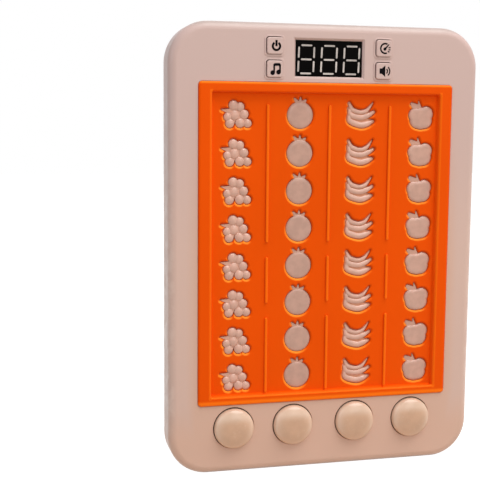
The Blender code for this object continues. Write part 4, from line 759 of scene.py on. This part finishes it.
def cutBack(tray, foot):
    # the buttons' wells and the pilot holes for the screws
    back, over = -shell["depth"], cutter["over"]
    radius = buttons["flange"] + buttons["gap"]
    combine(tray, gather([rod("well", x, buttons["y"], foot - over, -shell["wall"], radius,
                              buttons["wellSteps"]) for x in buttons["x"]]))
    runs = [(spot, back, back + shell["pilotDepth"]) for spot in shell["bosses"]]
    runs += [(spot, shell["postFoot"], shell["postTip"]) for spot in shell["posts"]]
    combine(tray, gather([rod("pilot", *spot, low - over, high, shell["pilotRadius"],
                              shell["pilotSteps"]) for spot, low, high in runs]))


def byBore(spot):
    reach = buttons["edgeReach"]
    return any(math.hypot(spot.x - x, spot.y - buttons["y"]) < reach for x in buttons["x"])


def makeFrontShell():
    back, wall = -shell["depth"], shell["wall"]
    tray = roundedTray("frontShell", 0, back, 0, shell["fillet"], shell["filletSteps"])
    combine(tray, roundedTray("hollow", wall, back - 2 * cutter["over"], -wall,
                              shell["innerFillet"], shell["innerSteps"]))
    roundEdges(tray, creaseAt(back), shell["rim"], 1)
    rise, foot = -wall / 2, -wall - buttons["wellDepth"]
    bosses = [rod("boss", x, y, back, rise, shell["bossRadius"]) for x, y in shell["bosses"]]
    posts = [rod("post", x, y, shell["postFoot"], rise, shell["postRadius"]) for x, y in shell["posts"]]
    combine(tray, gather(bosses + posts), "UNION")
    addGuides(tray, foot, rise)
    addCollars(tray, rise)
    cutFace(tray)
    cutBack(tray, foot)
    roundEdges(tray, creaseAt(0, byBore), buttons["edge"], 2)
    fit(tray, "case", finishes["shell"], ["front_housing"])


makeFrontShell()
print("console: front shell moulded")


# fruits: rounds (x, y, radius) and strokes as shares of one fruit's size
fruits = {
    "size": 13.0, "pitchX": 29.78, "pitchY": 17.49, "shiftX": 1.0, "firstY": 63.1, "rows": 8,
    "rays": 144, "least": 0.1,
    "grape": {
        "centre": (0.03, -0.08),
        "rounds": [(-0.085, 0.305, 0.190), (0.150, 0.255, 0.176), (-0.050, -0.035, 0.190),
                   (0.300, -0.005, 0.180), (-0.295, -0.100, 0.160), (-0.215, -0.325, 0.177),
                   (0.155, -0.310, 0.184), (0.425, -0.320, 0.168)],
        "strokes": [[(-0.500, 0.140, 0.048), (-0.200, 0.120, 0.085)]],
    },
    "pomegranate": {
        "centre": (0.06, 0.10),
        "rounds": [(0.060, -0.015, 0.490)],
        "strokes": [[(0.010, 0.400, 0.090), (-0.150, 0.560, 0.046)],
                    [(0.060, 0.420, 0.085), (0.070, 0.600, 0.042)],
                    [(0.120, 0.400, 0.090), (0.265, 0.515, 0.046)]],
    },
    "banana": {
        "centre": (0.0, -0.10),
        "rounds": [],
        "strokes": [
            [(-0.385, 0.420, 0.075), (-0.265, 0.205, 0.105), (0.050, 0.110, 0.100),
             (0.310, 0.200, 0.090), (0.510, 0.455, 0.042)],
            [(-0.385, 0.230, 0.090), (-0.300, 0.010, 0.125), (0.050, -0.075, 0.120),
             (0.320, -0.010, 0.115), (0.545, 0.120, 0.080)],
            [(-0.385, 0.000, 0.090), (-0.335, -0.210, 0.130), (0.050, -0.345, 0.130),
             (0.310, -0.300, 0.125), (0.515, -0.210, 0.080)],
        ],
    },
    "apple": {
        "centre": (0.09, -0.05),
        "rounds": [(-0.105, 0.020, 0.288), (0.300, 0.070, 0.292), (-0.030, -0.160, 0.310),
                   (0.240, -0.165, 0.315), (0.097, -0.090, 0.408)],
        "strokes": [[(0.100, 0.300, 0.040), (0.000, 0.520, 0.040)],
                    [(-0.040, 0.350, 0.085), (-0.250, 0.415, 0.085)]],
    },
}
fruitNames = ("grape", "pomegranate", "banana", "apple")
# the steps are (inward, rise) pairs from a lens's top
lens = {
    "gap": 0.2, "foot": -3.9, "top": -2.8, "webTop": -3.5, "webBottom": -4.4, "halfStrip": 9.2,
    "stripShort": 0.6, "stripCorner": 0.8, "sprigLift": 0.05, "berryRise": 1.05,
    "strokeSunk": 0.3, "strokeRise": {"grape": 0.7, "banana": 1.25}, "thinnest": 0.15,
    # painted light: the one resin brighter or darker per fruit, for the light each shape catches
    "litResin": {"grape": 1.16, "pomegranate": 0.93, "banana": 1.17, "apple": 1.02},
    "steps": {
        "grape": [(0, 0), (0.12, 0.3)],
        "pomegranate": [(0, 0), (0.06, 0.20), (0.22, 0.36), (0.50, 0.48), (1.0, 0.56), (1.9, 0.62)],
        "banana": [(0, 0)],
        "apple": [(0, 0), (0.06, 0.26), (0.20, 0.50), (0.45, 0.70), (0.90, 0.85), (1.6, 0.95)],
        "sprig": [(0, 0.25), (0.08, 0.32)],
    },
}


def columnX(column):
    return fruits["shiftX"] + (column - 1.5) * fruits["pitchX"]


def inColumn(first, column):
    # a copy of one shape for every row of a column, in place of the shape
    tops = [fruits["firstY"] - row * fruits["pitchY"] for row in range(fruits["rows"])]
    copies = [copyTo(first, columnX(column), y) for y in tops]
    bpy.data.objects.remove(first, do_unlink=True)
    return copies


def inMillimetres(shares):
    return [tuple(value * fruits["size"] for value in share) for share in shares]


def strokeRun(stroke, steps=6):
    # rounds at even steps on a smooth line through a stroke's points
    run = []
    last = len(stroke) - 1
    for i in range(last):
        before, after = stroke[max(i - 1, 0)], stroke[min(i + 2, last)]
        for k in range(steps):
            t = k / steps
            run.append(tuple(
                b + t * ((c - a) / 2 + t * ((2 * a - 5 * b + 4 * c - d) / 2
                                            + t * (3 * b - a - 3 * c + d) / 2))
                for a, b, c, d in zip(before, stroke[i], stroke[i + 1], after)))
    return run + [stroke[last]]


def roundsOf(fruit, strokes=True):
    found = inMillimetres(fruits[fruit]["rounds"])
    if strokes:
        for stroke in fruits[fruit]["strokes"]:
            found += strokeRun(inMillimetres(stroke))
    return found


def reachOf(rounds, centre, angle, grow):
    # how far the outline lies from the centre along one ray
    dx, dy = math.cos(angle), math.sin(angle)
    far = fruits["least"]
    for x, y, radius in rounds:
        px, py = x - centre[0], y - centre[1]
        along, aside = px * dx + py * dy, abs(px * dy - py * dx)
        wide = radius + grow
        if aside < wide and along + wide > 0:
            far = max(far, along + math.sqrt(wide * wide - aside * aside))
    return far


def fruitColumn(fruit, rounds, levels):
    # a disc pulled up through (height, growth) levels, its rim pulled to the fruit's outline at each
    centre = inMillimetres([fruits[fruit]["centre"]])[0]
    z, touch = levels[0][0], tolerance["touch"]
    column = disc(fruit, (*centre, z), 1, fruits["rays"])
    for level, grow in levels:
        if level > z:
            openUp(column, "FACE")
            pick(column, "FACE", lambda face: abs(face.normal.z) > 0.9
                 and face.calc_center_median().z > z - touch)
            pullUp(level - z)
            closeUp()
        z = level
        for point in column.data.vertices:
            if abs(point.co.z - z) < touch:
                angle = math.atan2(point.co.y - centre[1], point.co.x - centre[0])
                far = reachOf(rounds, centre, angle, grow)
                point.co = (centre[0] + far * math.cos(angle), centre[1] + far * math.sin(angle), z)
    return cleaned(column)


def cushion(fruit, rounds, kind, lift=0):
    levels = [(lens["foot"] + lift, -lens["gap"])]
    levels += [(lens["top"] + rise, -lens["gap"] - inward) for inward, rise in lens["steps"][kind]]
    return fruitColumn(fruit, rounds, levels)


def berry(x, y, radius):
    place = (x, y, lens["top"])
    bpy.ops.mesh.primitive_uv_sphere_add(segments=24, ring_count=14, radius=1, location=place)
    return taken("berry", (radius, radius, lens["berryRise"]))


def swollenStroke(stroke, height):
    # a tapering tube along a stroke, pressed flat to a low ridge
    run = strokeRun(inMillimetres(stroke), 5)
    line = bpy.data.curves.new("stroke", "CURVE")
    line.dimensions = "3D"
    line.bevel_depth = 1
    line.bevel_resolution = 4
    line.use_fill_caps = True
    thread = line.splines.new("POLY")
    thread.points.add(len(run) - 1)
    for point, (x, y, radius) in zip(thread.points, run):
        point.co = (x, y, 0, 1)
        point.radius = max(lens["thinnest"], radius - lens["gap"])
    widest = max(radius for x, y, radius in run)
    place = (0, 0, lens["top"] - lens["strokeSunk"])
    tube = moved(meshed("stroke", line), place, (1, 1, height / widest))
    return cleaned(tube, tolerance["merge"])


def makeLens(fruit):
    shape = fruits[fruit]
    if fruit not in lens["strokeRise"]:
        # a smooth cushion with its stalk, leaf or crown as a low sprig
        piece = cushion(fruit, roundsOf(fruit, False), fruit)
        combine(piece, cushion(fruit, roundsOf(fruit), "sprig", lens["sprigLift"]), "UNION")
        return piece
    piece = cushion(fruit, roundsOf(fruit), fruit)
    for x, y, radius in inMillimetres(shape["rounds"]):
        combine(piece, berry(x, y, radius - lens["gap"] / 2), "UNION")
    for stroke in shape["strokes"]:
        combine(piece, swollenStroke(stroke, lens["strokeRise"][fruit]), "UNION")
    return piece


def makeLensStrip(column, fruit):
    lenses = gather(inColumn(makeLens(fruit), column))
    middle, tall = span(panel["recessBottom"], panel["recessTop"])
    strip = block(f"lensStrip_{fruit}", columnX(column), middle, lens["webBottom"], lens["webTop"],
                  2 * lens["halfStrip"], tall - lens["stripShort"], lens["stripCorner"])
    combine(strip, lenses, "UNION")
    litResin = lensFinish(fruit, lens["litResin"][fruit])
    fit(strip, "case", litResin, [f"lens_strip_{fruit}"], 42)


for column, fruit in enumerate(fruitNames):
    makeLensStrip(column, fruit)
print("console: fruit lenses cast")


ribs = {
    "width": 1.3, "rise": 1.0, "sunk": 0.6, "corner": 0.6, "edge": 0.42,
    "runs": [(4.1, 67.7), (-24.4, -2.8), (-69.0, -31.3)],
}
# a flare's faces by their depth under the floor and their tilt, and where the light comes from
flares = {"depth": (0.005, 0.74), "tilt": (0.05, 0.998), "light": (0.5, 0.87), "start": 0.25, "gain": 5}


def markFlares(plate):
    # notes on each flare how far it faces the light: 1 up and to the right, -1 the other way
    shallow, deep = flares["depth"]
    steep, flat = flares["tilt"]
    right, upward = flares["light"]
    catch = plate.data.attributes.new("catch", "FLOAT", "CORNER")
    for face in plate.data.polygons:
        depth = panel["floorTop"] - face.center.z
        if shallow < depth < deep and steep < face.normal.z < flat:
            across, up = face.normal.x, face.normal.y
            facing = (right * across + upward * up) / math.hypot(across, up)
            facing *= min(1, flares["start"] + depth * flares["gain"])
            for corner in face.loop_indices:
                catch.data[corner].value = facing


def addRibs(plate):
    foot, top = panel["floorTop"] - ribs["sunk"], panel["floorTop"] + ribs["rise"]
    strips = []
    for column in range(3):
        x = (columnX(column) + columnX(column + 1)) / 2
        for run in ribs["runs"]:
            middle, tall = span(*run)
            rib = block("rib", x, middle, foot, top, ribs["width"], tall, ribs["corner"], 5)
            roundEdges(rib, atLevel(top), ribs["edge"], 3)
            strips.append(rib)
    combine(plate, gather(strips), "UNION")


def cutFruits(plate):
    levels = [(panel["floorBottom"] - cutter["over"], 0)]
    levels += [(panel["floorTop"] + rise, grow) for rise, grow in panel["flare"]]
    holes = []
    for column, fruit in enumerate(fruitNames):
        holes += inColumn(fruitColumn(fruit, roundsOf(fruit), levels), column)
    combine(plate, gather(holes))


def inRecess(spot):
    reach = panel["lipReach"]
    low, high = panel["recessBottom"] - reach, panel["recessTop"] + reach
    return abs(spot.x) < panel["recessHalf"] + reach and low < spot.y < high


def makeGamePanel():
    p = panel
    middle, tall = span(p["bottom"], p["top"])
    plate = block("gamePanel", 0, middle, p["back"], p["front"], 2 * p["halfWidth"], tall, p["corner"], 6)
    roundEdges(plate, atLevel(p["front"]), p["edge"], 5)
    middle, tall = span(p["recessBottom"], p["flangeTop"])
    combine(plate, block("flange", 0, middle, p["back"], p["flangeFront"], 2 * p["flangeHalf"], tall,
                         p["flangeCorner"]), "UNION")
    middle, tall = span(p["recessBottom"], p["recessTop"])
    for low, high in ((p["floorTop"], p["recessCut"]), (p["back"] - cutter["over"], p["floorBottom"])):
        combine(plate, block("recess", 0, middle, low, high, 2 * p["recessHalf"], tall, p["recessCorner"]))
    addRibs(plate)
    cutFruits(plate)
    roundEdges(plate, creaseAt(p["front"], inRecess), p["lip"], 5)
    markFlares(plate)
    fit(plate, "case", finishes["panel"], ["game_panel"], 38)


makeGamePanel()
print("console: game panel cut")


def makePlayButton(number, x):
    b, y = buttons, buttons["y"]
    profile = [(b["flange"], b["flangeBack"]), (b["flange"], b["flangeFront"]),
               (b["radius"], b["flangeFront"])]
    profile += [(b["radius"] * share, b["dome"] * rise) for share, rise in b["crown"]]
    cap = drawnUp(f"playButton_{number}", profile, b["steps"], x, y)
    combine(cap, rod("hollow", x, y, *b["hollow"], b["radius"] - b["wall"], b["wellSteps"]))
    combine(cap, rod("stem", x, y, *b["stem"]), "UNION")
    body = f"play_button_{number}"
    fit(cap, body, finishes["button"], [body], 50)


for number, x in enumerate(buttons["x"], 1):
    makePlayButton(number, x)
print("console: play buttons turned")


signs = {"line": 0.95, "top": 0.06, "sunk": 0.02, "grow": 1.06, "shift": 0.5}


def noteOutlines():
    # two round heads, two stems and a thick beam with rounded shoulders
    heads = [arcPoints(x, y, 1.02, 0, 345, 18) for x, y in ((-1.55, -1.65), (1.05, -1.35))]
    stems = [[(-1.30, -1.6), (-0.53, -1.6), (-0.53, 1.7), (-1.30, 1.7)],
             [(1.30, -1.3), (2.07, -1.3), (2.07, 1.6), (1.30, 1.6)]]
    beam = arcPoints(-0.40, 1.50, 0.90, 180, 95, 8) + arcPoints(1.17, 1.55, 0.90, 85, 0, 8)
    beam += [(2.07, 0.9), (1.30, 0.9), (1.20, 1.30), (-0.45, 1.25), (-0.53, 0.9), (-1.30, 0.9)]
    return heads + stems + [beam]


def dialOutlines():
    # an open ring on the left, dashes on the right, and a needle from the hub to the upper right
    shapes = [ringArc(-0.1, 0, 2.45, 1.75, 62, 292, 28), arcPoints(-0.25, -0.25, 0.70, 0, 340, 16)]
    shapes.append([(-0.65, -0.05), (0.0, -0.60), (1.85, 1.70), (1.55, 1.95)])
    for turn in (-40, -14, 12):
        shapes.append(ringArc(-0.1, 0, 2.50, 1.60, turn - 7, turn + 7, 2))
    return shapes


def signOutlines(name):
    wide = signs["line"] / 2
    if name == "power":
        return [ringArc(0, -0.25, 2.10, 2.10 - signs["line"], 122, 418, 32),
                [(-wide, -0.3), (wide, -0.3), (wide, 2.35), (-wide, 2.35)]]
    if name == "music":
        return noteOutlines()
    if name == "speed":
        return dialOutlines()
    box = [(-2.5, -1.15), (-1.45, -1.15), (0.15, -2.5), (0.15, 2.5), (-1.45, 1.15), (-2.5, 1.15)]
    waves = ((1.55, 0.98, 10), (2.65, 2.05, 14))
    return [box] + [ringArc(-0.1, 0, outer, inner, -50, 50, steps) for outer, inner, steps in waves]


def makeKey(name, x, y):
    side, top, back = keys["side"], keys["top"], keys["back"]
    cap = block(f"keyCap_{name}", x, y, back, top, side, side, keys["corner"], 6)
    roundEdges(cap, atLevel(top), keys["edge"], 4)
    wide = side + keys["flangeGrow"]
    combine(cap, block("flange", x, y, back, keys["flangeFront"], wide, wide, keys["corner"], 3), "UNION")
    combine(cap, rod("stem", x, y, *keys["stem"]), "UNION")
    fit(cap, f"key_{name}", finishes["shell"], [f"key_{name}"])
    pieces = [flatShape("mark", [outline], top - signs["sunk"], top + signs["top"])
              for outline in signOutlines(name)]
    mark = pieces[0]
    for other in pieces[1:]:
        combine(mark, other, "UNION")
    mark.name = f"keySign_{name}"
    moved(mark, (x + signs["shift"], y, 0), (signs["grow"], signs["grow"], 1))
    fit(mark, f"key_{name}", finishes["ink"])


for name, (x, y) in keys["places"].items():
    makeKey(name, x, y)
print("console: keys and signs set")


digits = {
    "pitch": 10.97, "width": 8.1, "height": 13.5, "line": 0.80, "cut": 0.62, "cutLevel": 0.98,
    "slant": 0.035, "bevel": 0.30, "drop": 0.5, "sunk": 0.2, "proud": 0.02,
}


def bar(x, y, length, level):
    half, thick = length / 2, digits["line"] / 2
    inner = half - digits["bevel"]
    points = [(-half, 0.0), (-inner, -thick), (inner, -thick), (half, 0.0), (inner, thick), (-inner, thick)]
    if not level:
        points = [(-b, a) for a, b in points]
    return [(x + a + digits["slant"] * (y + b), y + b) for a, b in points]


def makeDisplay():
    w, d, face = window, digits, -window["sink"]
    body = block("displayWindow", 0, w["y"], w["back"], face, w["width"], w["height"])
    roundEdges(body, atLevel(face), w["edge"], 2)
    fit(body, "case", finishes["glass"], ["display_module"])
    across, up = d["width"] - d["line"], d["height"] - d["line"]
    bars = []
    for digit in (-1, 0, 1):
        x = digit * d["pitch"]
        for y in (-up / 2, 0, up / 2):
            bars.append(bar(x, y, across - 2 * d["cutLevel"], True))
        for side in (-across / 2, across / 2):
            for y in (-up / 4, up / 4):
                bars.append(bar(x + side, y, up / 2 - 2 * d["cut"], False))
    lit = flatShape("displayBars", bars, face - d["sunk"], face + d["proud"])
    moved(lit, (0, w["y"] - d["drop"], 0))
    fit(lit, "case", finishes["segment"])


makeDisplay()
print("console: display set")


# for CAD shapes that are kept: metres within which points merge, and degrees
kept = {"merge": 0.000002, "flat": 0.5, "smooth": 30}


def smoothCopy(name, newName, body):
    # a piece that keeps its CAD shape, with its edges smoothed on a merged copy
    twin = placed(newName, nodes[name].data.copy())
    openUp(twin, "VERT")
    bpy.ops.mesh.select_all(action="SELECT")
    bpy.ops.mesh.remove_doubles(threshold=kept["merge"])
    bpy.ops.mesh.dissolve_limited(angle_limit=math.radians(kept["flat"]))
    closeUp()
    dress(twin, body, finishes["orange"], [name], kept["smooth"])


smoothCopy("rear_housing", "rearShell", "case")
smoothCopy("battery_door", "batteryDoor", "battery_door")

screw = {
    "head": 2.4, "shank": 1.2, "chamfer": 0.45, "slotWidth": 0.55, "slotLength": 2.6, "slotShare": 0.6,
    "caseHead": 1.6, "doorHead": 0.8, "count": 6,
}


def makeScrew(name, newName, body, headTall):
    # a pan head with a cross recess; it looks out of the back, so its head is at the low end
    low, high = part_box(name)
    scale = standing["scale"]
    x = (low[0] + high[0]) / 2 / scale
    y = ((low[2] + high[2]) / 2 - standing["middleZ"]) / scale
    foot, tip = ((standing["faceY"] - edge) / scale for edge in (high[1], low[1]))
    shoulder, head, chamfer = foot + headTall, screw["head"], screw["chamfer"]
    profile = [(head - chamfer, foot), (head, foot + chamfer), (head, shoulder),
               (screw["shank"], shoulder), (screw["shank"], tip)]
    piece = drawnUp(newName, profile, 32, x, y)
    start, deep = foot - cutter["over"], foot + headTall * screw["slotShare"]
    long, thin = screw["slotLength"], screw["slotWidth"]
    slot = block("slot", x, y, start, deep, long, thin)
    combine(slot, block("slot", x, y, start, deep, thin, long), "UNION")
    combine(piece, slot)
    fit(piece, body, finishes["steel"], [name])


for number in range(1, screw["count"] + 1):
    makeScrew(f"case_screw_{number}", f"caseScrew_{number}", "case", screw["caseHead"])
makeScrew("door_screw", "doorScrew", "battery_door", screw["doorHead"])

# CAD pieces shown as they are, by how their names start
carried = {
    "light_baffle": "baffle", "main_board": "board", "board_screw": "steel",
    "speaker_frame": "basket", "speaker_cone": "cone", "speaker_magnet": "magnet",
    "battery_lead_1": "leadBlack", "battery_lead_2": "leadRed",
    "speaker_lead_1": "leadBlack", "speaker_lead_2": "leadRed",
    "battery_cell": "wrap", "contact_": "steel",
    "key_switch": "switch", "button_switch": "switch", "key_plunger": "button",
}
for name in nodes:
    for start, finish in carried.items():
        if name.startswith(start):
            cover(nodes[name].data, finishes[finish])
print("console: inner works finished")


stage = {
    "floor": 6.0, "paper": (0.92, 0.92, 0.92), "paperUnseen": (0.63, 0.56, 0.47),
    "glowShare": 0.75, "glow": 1.34, "worldShade": (1.0, 0.985, 0.97), "worldLight": 0.28,
}
# place, height aimed at, size, power and shade
lamps = {
    "top": ((0.70, -0.72, 2.10), 0.12, 1.75, 48.5, (1.0, 0.97, 0.94)),
    "front": ((0.35, -1.20, 0.60), 0.08, 0.8, 3.5, (1.0, 0.95, 0.90)),
    "left": ((-1.10, -0.35, 0.45), 0.10, 0.7, 1.9, (0.82, 0.88, 1.0)),
    "spark": ((0.06, -0.66, 1.12), 0.03, 0.07, 0.5, (1.0, 0.97, 0.94)),
}
view = {
    "place": (-0.14823, -0.44712, 0.16094), "turn": (83.5655, -0.3815, -13.6564), "lens": 73.761,
    "sensor": 36, "nearest": 0.01,
}


def seenWhite(bench, shown, lit):
    # the first shader for camera, glossy and transmission rays, the second for all others
    total = bench.node("ShaderNodeLightPath", out="Is Camera Ray")
    paths = total.socket.node.outputs
    for label in ("Is Glossy Ray", "Is Transmission Ray"):
        total = total.most(Wire(bench, paths[label]))
    return bench.node("ShaderNodeMixShader", None, {0: total, 1: lit, 2: shown})


def emptied(owner):
    owner.use_nodes = True
    owner.node_tree.nodes.clear()
    return Bench(owner.node_tree)


def makeStage():
    world = bpy.data.worlds.new("studio")
    bpy.context.scene.world = world
    sky = emptied(world)
    lit = sky.node("ShaderNodeBackground", None, {0: stage["worldShade"], 1: stage["worldLight"]})
    shown = sky.node("ShaderNodeBackground", None, {0: shades["white"], 1: 1.0})
    sky.node("ShaderNodeOutputWorld", None, {0: seenWhite(sky, shown, lit)})

    bpy.ops.mesh.primitive_plane_add(size=stage["floor"], location=(0, 0, 0))
    floor = bpy.context.object
    floor.name = "floor"
    paper = bpy.data.materials.new("floorPaper")
    sheet = emptied(paper)
    matt = sheet.node("ShaderNodeBsdfDiffuse", None, {0: stage["paper"]})
    dim = sheet.node("ShaderNodeBsdfDiffuse", None, {0: stage["paperUnseen"]})
    glow = sheet.node("ShaderNodeEmission", None, {0: shades["white"], 1: stage["glow"]})
    both = sheet.node("ShaderNodeMixShader", None, {0: stage["glowShare"], 1: matt, 2: glow})
    sheet.node("ShaderNodeOutputMaterial", None, {0: seenWhite(sheet, both, dim)})
    floor.data.materials.append(paper)


makeStage()
for name, (place, aimHigh, size, power, shade) in lamps.items():
    bpy.ops.object.light_add(type="AREA", location=place)
    light = bpy.context.object
    light.name = f"lamp_{name}"
    light.data.size = size
    light.data.energy = power
    light.data.color = shade
    heading = Vector((0, 0, aimHigh)) - light.location
    light.rotation_euler = heading.to_track_quat("-Z", "Y").to_euler()

turns = [math.radians(turn) for turn in view["turn"]]
bpy.ops.object.camera_add(location=view["place"], rotation=turns)
camera = bpy.context.object
camera.data.lens = view["lens"]
camera.data.sensor_width = view["sensor"]
camera.data.clip_start = view["nearest"]
bpy.context.scene.camera = camera
bpy.context.scene.view_settings.view_transform = "Standard"
print("console: stage lit")
